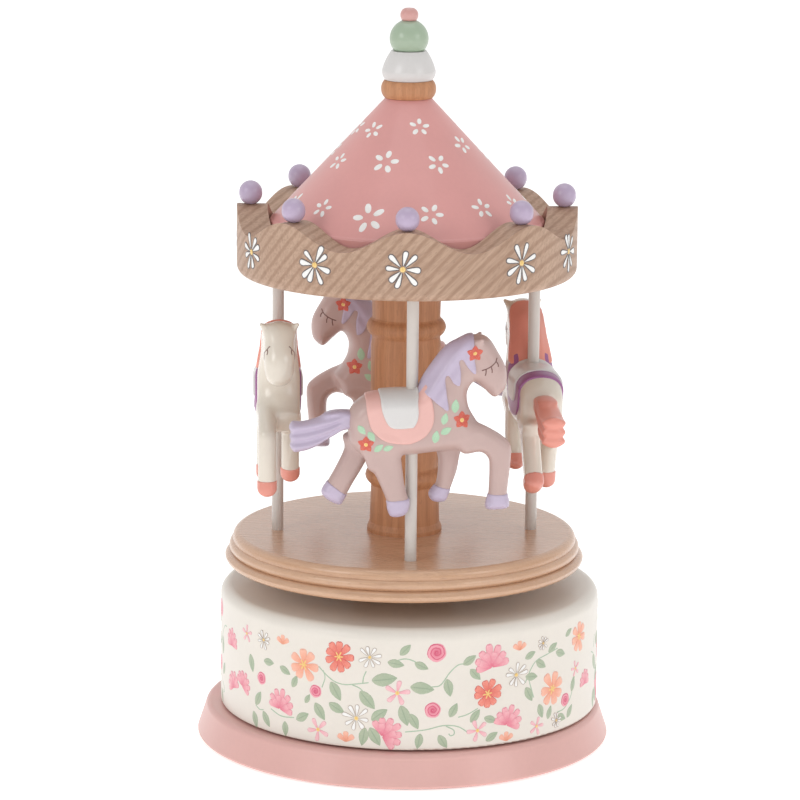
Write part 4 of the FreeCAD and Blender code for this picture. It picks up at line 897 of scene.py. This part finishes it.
def carve_horse():
    """The pieces of one horse as meshes in its own frame, and its side heights."""
    carving = Carving()
    width = width_of_body(carving.plane_x, carving.plane_z)
    body = carving.inflate(carving.outline(BODY_OUTLINE), width, 4.0)
    legs = {}
    for name, (points, centre) in LEGS.items():
        legs[name] = carving.inflate(carving.outline(points), LEG_HALF_WIDTH, 2.3, centre)
    for leg in legs.values():
        body = join(body, leg, 1.4)
    for side in (-1, 1):
        ear = carving.cone((16.8, 3.2 * side, 44.6), (18.2, 4.9 * side, 46.0), 1.3, 0.5)
        body = join(body, ear, 1.0)
    shapes = {"body": body}
    shapes["tail"] = carving.inflate(carving.outline(TAIL_OUTLINE), 2.9, 1.3) - tail_grooves(carving)
    hooves = None
    for name, point, way in HOOVES:
        hoof = meet(legs[name] - 0.22, carving.half_plane(point, way), 0.3)
        hooves = hoof if hooves is None else np.minimum(hooves, hoof)
    shapes["hooves"] = hooves
    ripple = np.sin((carving.plane_x * 0.78 - carving.plane_z * 0.55) * 2.1)[:, None, :]
    relief = 0.42 + 0.12 * ripple
    for name, outline, thickness in (("mane", MANE_OUTLINE, relief), ("crest", CREST_OUTLINE, relief),
                                     ("pad", PAD_OUTLINE, 0.34), ("saddle", SADDLE_OUTLINE, 0.7)):
        region = carving.outline(outline)[:, None, :]
        shell = meet(body - thickness, region, 0.35)
        shapes[name] = np.maximum(shell, -(body + 0.5))
    whole = np.minimum.reduce([shapes[name] for name in ("body", "mane", "pad", "saddle")])
    meshes = {name: carving.mesh(field) for name, field in shapes.items()}
    return meshes, carving.heights(whole)


def horse_surface(heights, side):
    """One side of a horse: side is -1 for its right and 1 for its left."""
    table = heights[0] if side < 0 else heights[1]

    def surface(place, across, up, lift):
        x = place[0] + across
        z = place[1] + up
        column = np.clip((x - FIELD_LOW[0]) / VOXEL, 0, table.shape[0] - 1.001)
        row = np.clip((z - FIELD_LOW[2]) / VOXEL, 0, table.shape[1] - 1.001)
        left = column.astype(int)
        lower = row.astype(int)
        part_x = column - left
        part_z = row - lower
        near = table[left, lower] * (1 - part_x) + table[left + 1, lower] * part_x
        far = table[left, lower + 1] * (1 - part_x) + table[left + 1, lower + 1] * part_x
        out = near * (1 - part_z) + far * part_z
        return np.stack([x, side * (out + lift), z], axis=-1)

    surface.mirrored = side > 0
    return surface


# A horse's flowers are a place and a size, and its leaves a place, a heading and a length.
HORSE_FLOWERS = ((16.3, 42.4, 2.2), (13.0, 24.7, 2.3), (-12.4, 18.1, 2.2))
HORSE_LEAVES = ((11.2, 28.3, 5, 3.4), (8.4, 24.9, 15, 3.0), (8.7, 21.7, 60, 3.0), (6.1, 20.0, 10, 3.2),
                (-13.6, 22.1, 140, 2.8), (-11.0, 20.4, 145, 2.8), (-9.1, 17.1, 50, 2.8),
                (-6.6, 17.1, 70, 2.6))
EYE_LID = ((18.2, 37.7), (19.6, 38.2), (20.8, 38.9), (21.8, 39.8), (22.3, 40.9))
LASHES = (((19.3, 38.1), (19.3, 37.1), (19.1, 36.3)), ((20.6, 38.8), (20.9, 37.8), (20.9, 37.1)),
          ((21.9, 40.1), (22.5, 39.3), (22.6, 38.6)))


def paint_horse(heights, lively):
    """Artwork on both sides of a horse: the face, and the flowers if it has them."""
    made = {"flowers": [], "leaves": [], "middles": [], "lashes": []}
    for side in (-1, 1):
        surface = horse_surface(heights, side)
        art = {name: Artwork(surface) for name in made}
        for line in (EYE_LID, *LASHES):
            points = [(x - line[0][0], z - line[0][1]) for x, z in line]
            stroke(art["lashes"], line[0], points, 0.34, 0.06)
        if lively:
            for x, z, radius in HORSE_FLOWERS:
                for number in range(5):
                    petal(art["flowers"], (x, z), 0.05, radius, radius * 0.4, 72 * number, 0.1, "leaf")
                spot(art["middles"], (x, z), radius * 0.24, 0.17)
            for x, z, heading, length in HORSE_LEAVES:
                turn = math.radians(heading)
                base = (x - length / 2 * math.sin(turn), z - length / 2 * math.cos(turn))
                petal(art["leaves"], base, 0.0, length * 1.1, length * 0.33, heading, LEAF_LIFT, "leaf")
        for name in made:
            made[name].append(art[name])
    return made


def merge_artwork(pair):
    """Points, faces and paint of the artwork on both sides."""
    points = []
    faces = []
    paint = []
    for art in pair:
        start = sum(len(part) for part in points)
        points.append(np.vstack(art.points))
        faces.append(np.vstack(art.faces) + start)
        paint.append(np.vstack(art.paint))
    return np.vstack(points), np.vstack(faces), np.vstack(paint)


def horse_matrix(side):
    """Where a horse stands: a turn about its pole, and the pole's place. In mm."""
    low, high = box_mm("pole_" + side)
    pole = (low + high) / 2
    extra = RIGHT_TURN if side == "right" else 0.0
    heading = math.atan2(pole.y, pole.x) + math.radians(QUARTER + extra)
    stand = box_mm("horse_" + side)[0].z - LOWEST_HOOF
    return np.array(Matrix.Rotation(heading, 3, "Z")), np.array((pole.x, pole.y, stand))


COAT_FINISHES = {
    "mauve": {"body": "horse_mauve", "mane": "horse_lilac", "tail": "horse_lilac", "hooves": "horse_lilac",
              "pad": "saddle_pink", "saddle": "saddle_white"},
    "cream": {"body": "horse_cream", "crest": "coral", "tail": "coral", "hooves": "coral",
              "pad": "purple", "saddle": "saddle_white"},
}
COAT_SLOTS = {"body": "horse_mauve", "mane": "lilac_lacquer", "crest": "lilac_lacquer",
              "tail": "lilac_lacquer", "hooves": "lilac_lacquer", "pad": "pink_lacquer",
              "saddle": "white_lacquer"}
RIGHT_TURN = 6.0      # how far the right horse is turned about its pole, in degrees


def make_horses():
    """Four horses from one mould, in two coats."""
    meshes, heights = carve_horse()
    art = {True: paint_horse(heights, True), False: paint_horse(heights, False)}
    art_finish = {"flowers": ("red_flower", "pink_lacquer"), "leaves": ("mint_leaf", "green_lacquer"),
                  "middles": ("yellow", "natural_wood"), "lashes": ("lash", "dark_plastic")}
    for side in HORSE_SIDES:
        turn, shift = horse_matrix(side)
        mauve = side in ("front", "back")
        coat = COAT_FINISHES["mauve" if mauve else "cream"]
        for part in coat:
            points, quads = meshes[part]
            placed = points @ turn.T + shift
            slot = COAT_SLOTS[part] if mauve or part != "body" else "horse_cream"
            name = f"horse_{side}_{part}"
            piece = make_piece(name, placed, quads, FINISHES[coat[part]], "carousel")
            if part == "body":
                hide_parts("horse_" + side)
        for part, pair in art[mauve].items():
            if pair[0].points:
                points, faces, paint = merge_artwork(pair)
                finish, slot = art_finish[part]
                placed = points @ turn.T + shift
                make_piece(f"horse_{side}_{part}", placed, faces, FINISHES[finish], "carousel", paint)


# ---------------------------------------------------------------------- stage

CAMERA_TARGET = (-1.52, 0.0, 94.2)
CAMERA_DISTANCE = 1085.9
CAMERA_ELEVATION = 12.0
CAMERA_ROLL = 0.55
CAMERA_LENS = 178.0        # on a sensor 36 mm wide


def make_camera():
    """A long lens, a little above the object, with a slight roll."""
    elevation = math.radians(CAMERA_ELEVATION)
    roll = math.radians(CAMERA_ROLL)
    right = Vector((1, 0, 0))
    up = Vector((0, math.sin(elevation), math.cos(elevation)))
    ahead = Vector((0, math.cos(elevation), -math.sin(elevation)))
    rolled_right = right * math.cos(roll) + up * math.sin(roll)
    rolled_up = up * math.cos(roll) - right * math.sin(roll)
    data = bpy.data.cameras.new("camera")
    data.lens = CAMERA_LENS
    data.sensor_width = 36.0
    data.clip_start = 0.05
    data.clip_end = 20.0
    camera = bpy.data.objects.new("camera", data)
    place = (Vector(CAMERA_TARGET) - ahead * CAMERA_DISTANCE) * MM
    turn = Matrix((rolled_right, rolled_up, -ahead)).transposed()
    camera.matrix_world = Matrix.Translation(place) @ turn.to_4x4()
    bpy.context.scene.collection.objects.link(camera)
    bpy.context.scene.camera = camera


def make_floor():
    """A plain white sweep."""
    mesh = bpy.data.meshes.new("floor")
    reach = 8.0           # metres
    corners = [(-reach, -reach, 0), (reach, -reach, 0), (reach, reach, 0), (-reach, reach, 0)]
    mesh.from_pydata(corners, [], [(0, 1, 2, 3)])
    finish = Finish("white_paper")
    cloud = finish.noise(finish.place(), 0.01, 2.0)
    finish.set(Base_Color=finish.mix(cloud, linear((248, 248, 248)), linear((250, 250, 250))), Roughness=0.9)
    finish.set(Emission_Color=(1, 1, 1, 1), Emission_Strength=0.5)
    mesh.materials.append(finish.material)
    floor = bpy.data.objects.new("floor", mesh)
    bpy.context.scene.collection.objects.link(floor)


def make_lights():
    """Three soft boxes in front, one overhead, and a room that is brighter behind the object."""
    middle = Vector(CAMERA_TARGET) * MM
    boxes = (("left_box", (-0.85, -0.75, 0.6), 0.5, 2.5), ("right_box", (0.9, -0.7, 0.5), 0.5, 1.8),
             ("front_box", (0.0, -1.3, 0.12), 0.9, 1.7), ("top_box", (0.0, 0.1, 1.1), 0.7, 1.5))
    for name, place, size, power in boxes:
        data = bpy.data.lights.new(name, "AREA")
        data.size = size
        data.energy = power
        lamp = bpy.data.objects.new(name, data)
        lamp.location = place
        lamp.rotation_mode = "QUATERNION"
        lamp.rotation_quaternion = (middle - Vector(place)).to_track_quat("-Z", "Y")
        bpy.context.scene.collection.objects.link(lamp)
    world = bpy.data.worlds.new("studio")
    world.use_nodes = True
    tree = world.node_tree
    way = tree.nodes.new("ShaderNodeTexCoord").outputs["Generated"]
    parts = tree.nodes.new("ShaderNodeSeparateXYZ")
    ramp = tree.nodes.new("ShaderNodeMapRange")
    for name, value in (("From Min", -1.0), ("From Max", 1.0), ("To Min", 0.34), ("To Max", 0.9)):
        ramp.inputs[name].default_value = value
    tree.links.new(way, parts.inputs[0])
    tree.links.new(parts.outputs["Y"], ramp.inputs["Value"])
    tree.links.new(ramp.outputs[0], tree.nodes["Background"].inputs["Strength"])
    tree.nodes["Background"].inputs["Color"].default_value = (1, 1, 1, 1)
    bpy.context.scene.world = world
    bpy.context.scene.view_settings.view_transform = "Standard"


make_camera()
dress_cad_nodes()
paint_drum()
paint_canopy()
paint_roof()
make_horses()
make_floor()
make_lights()
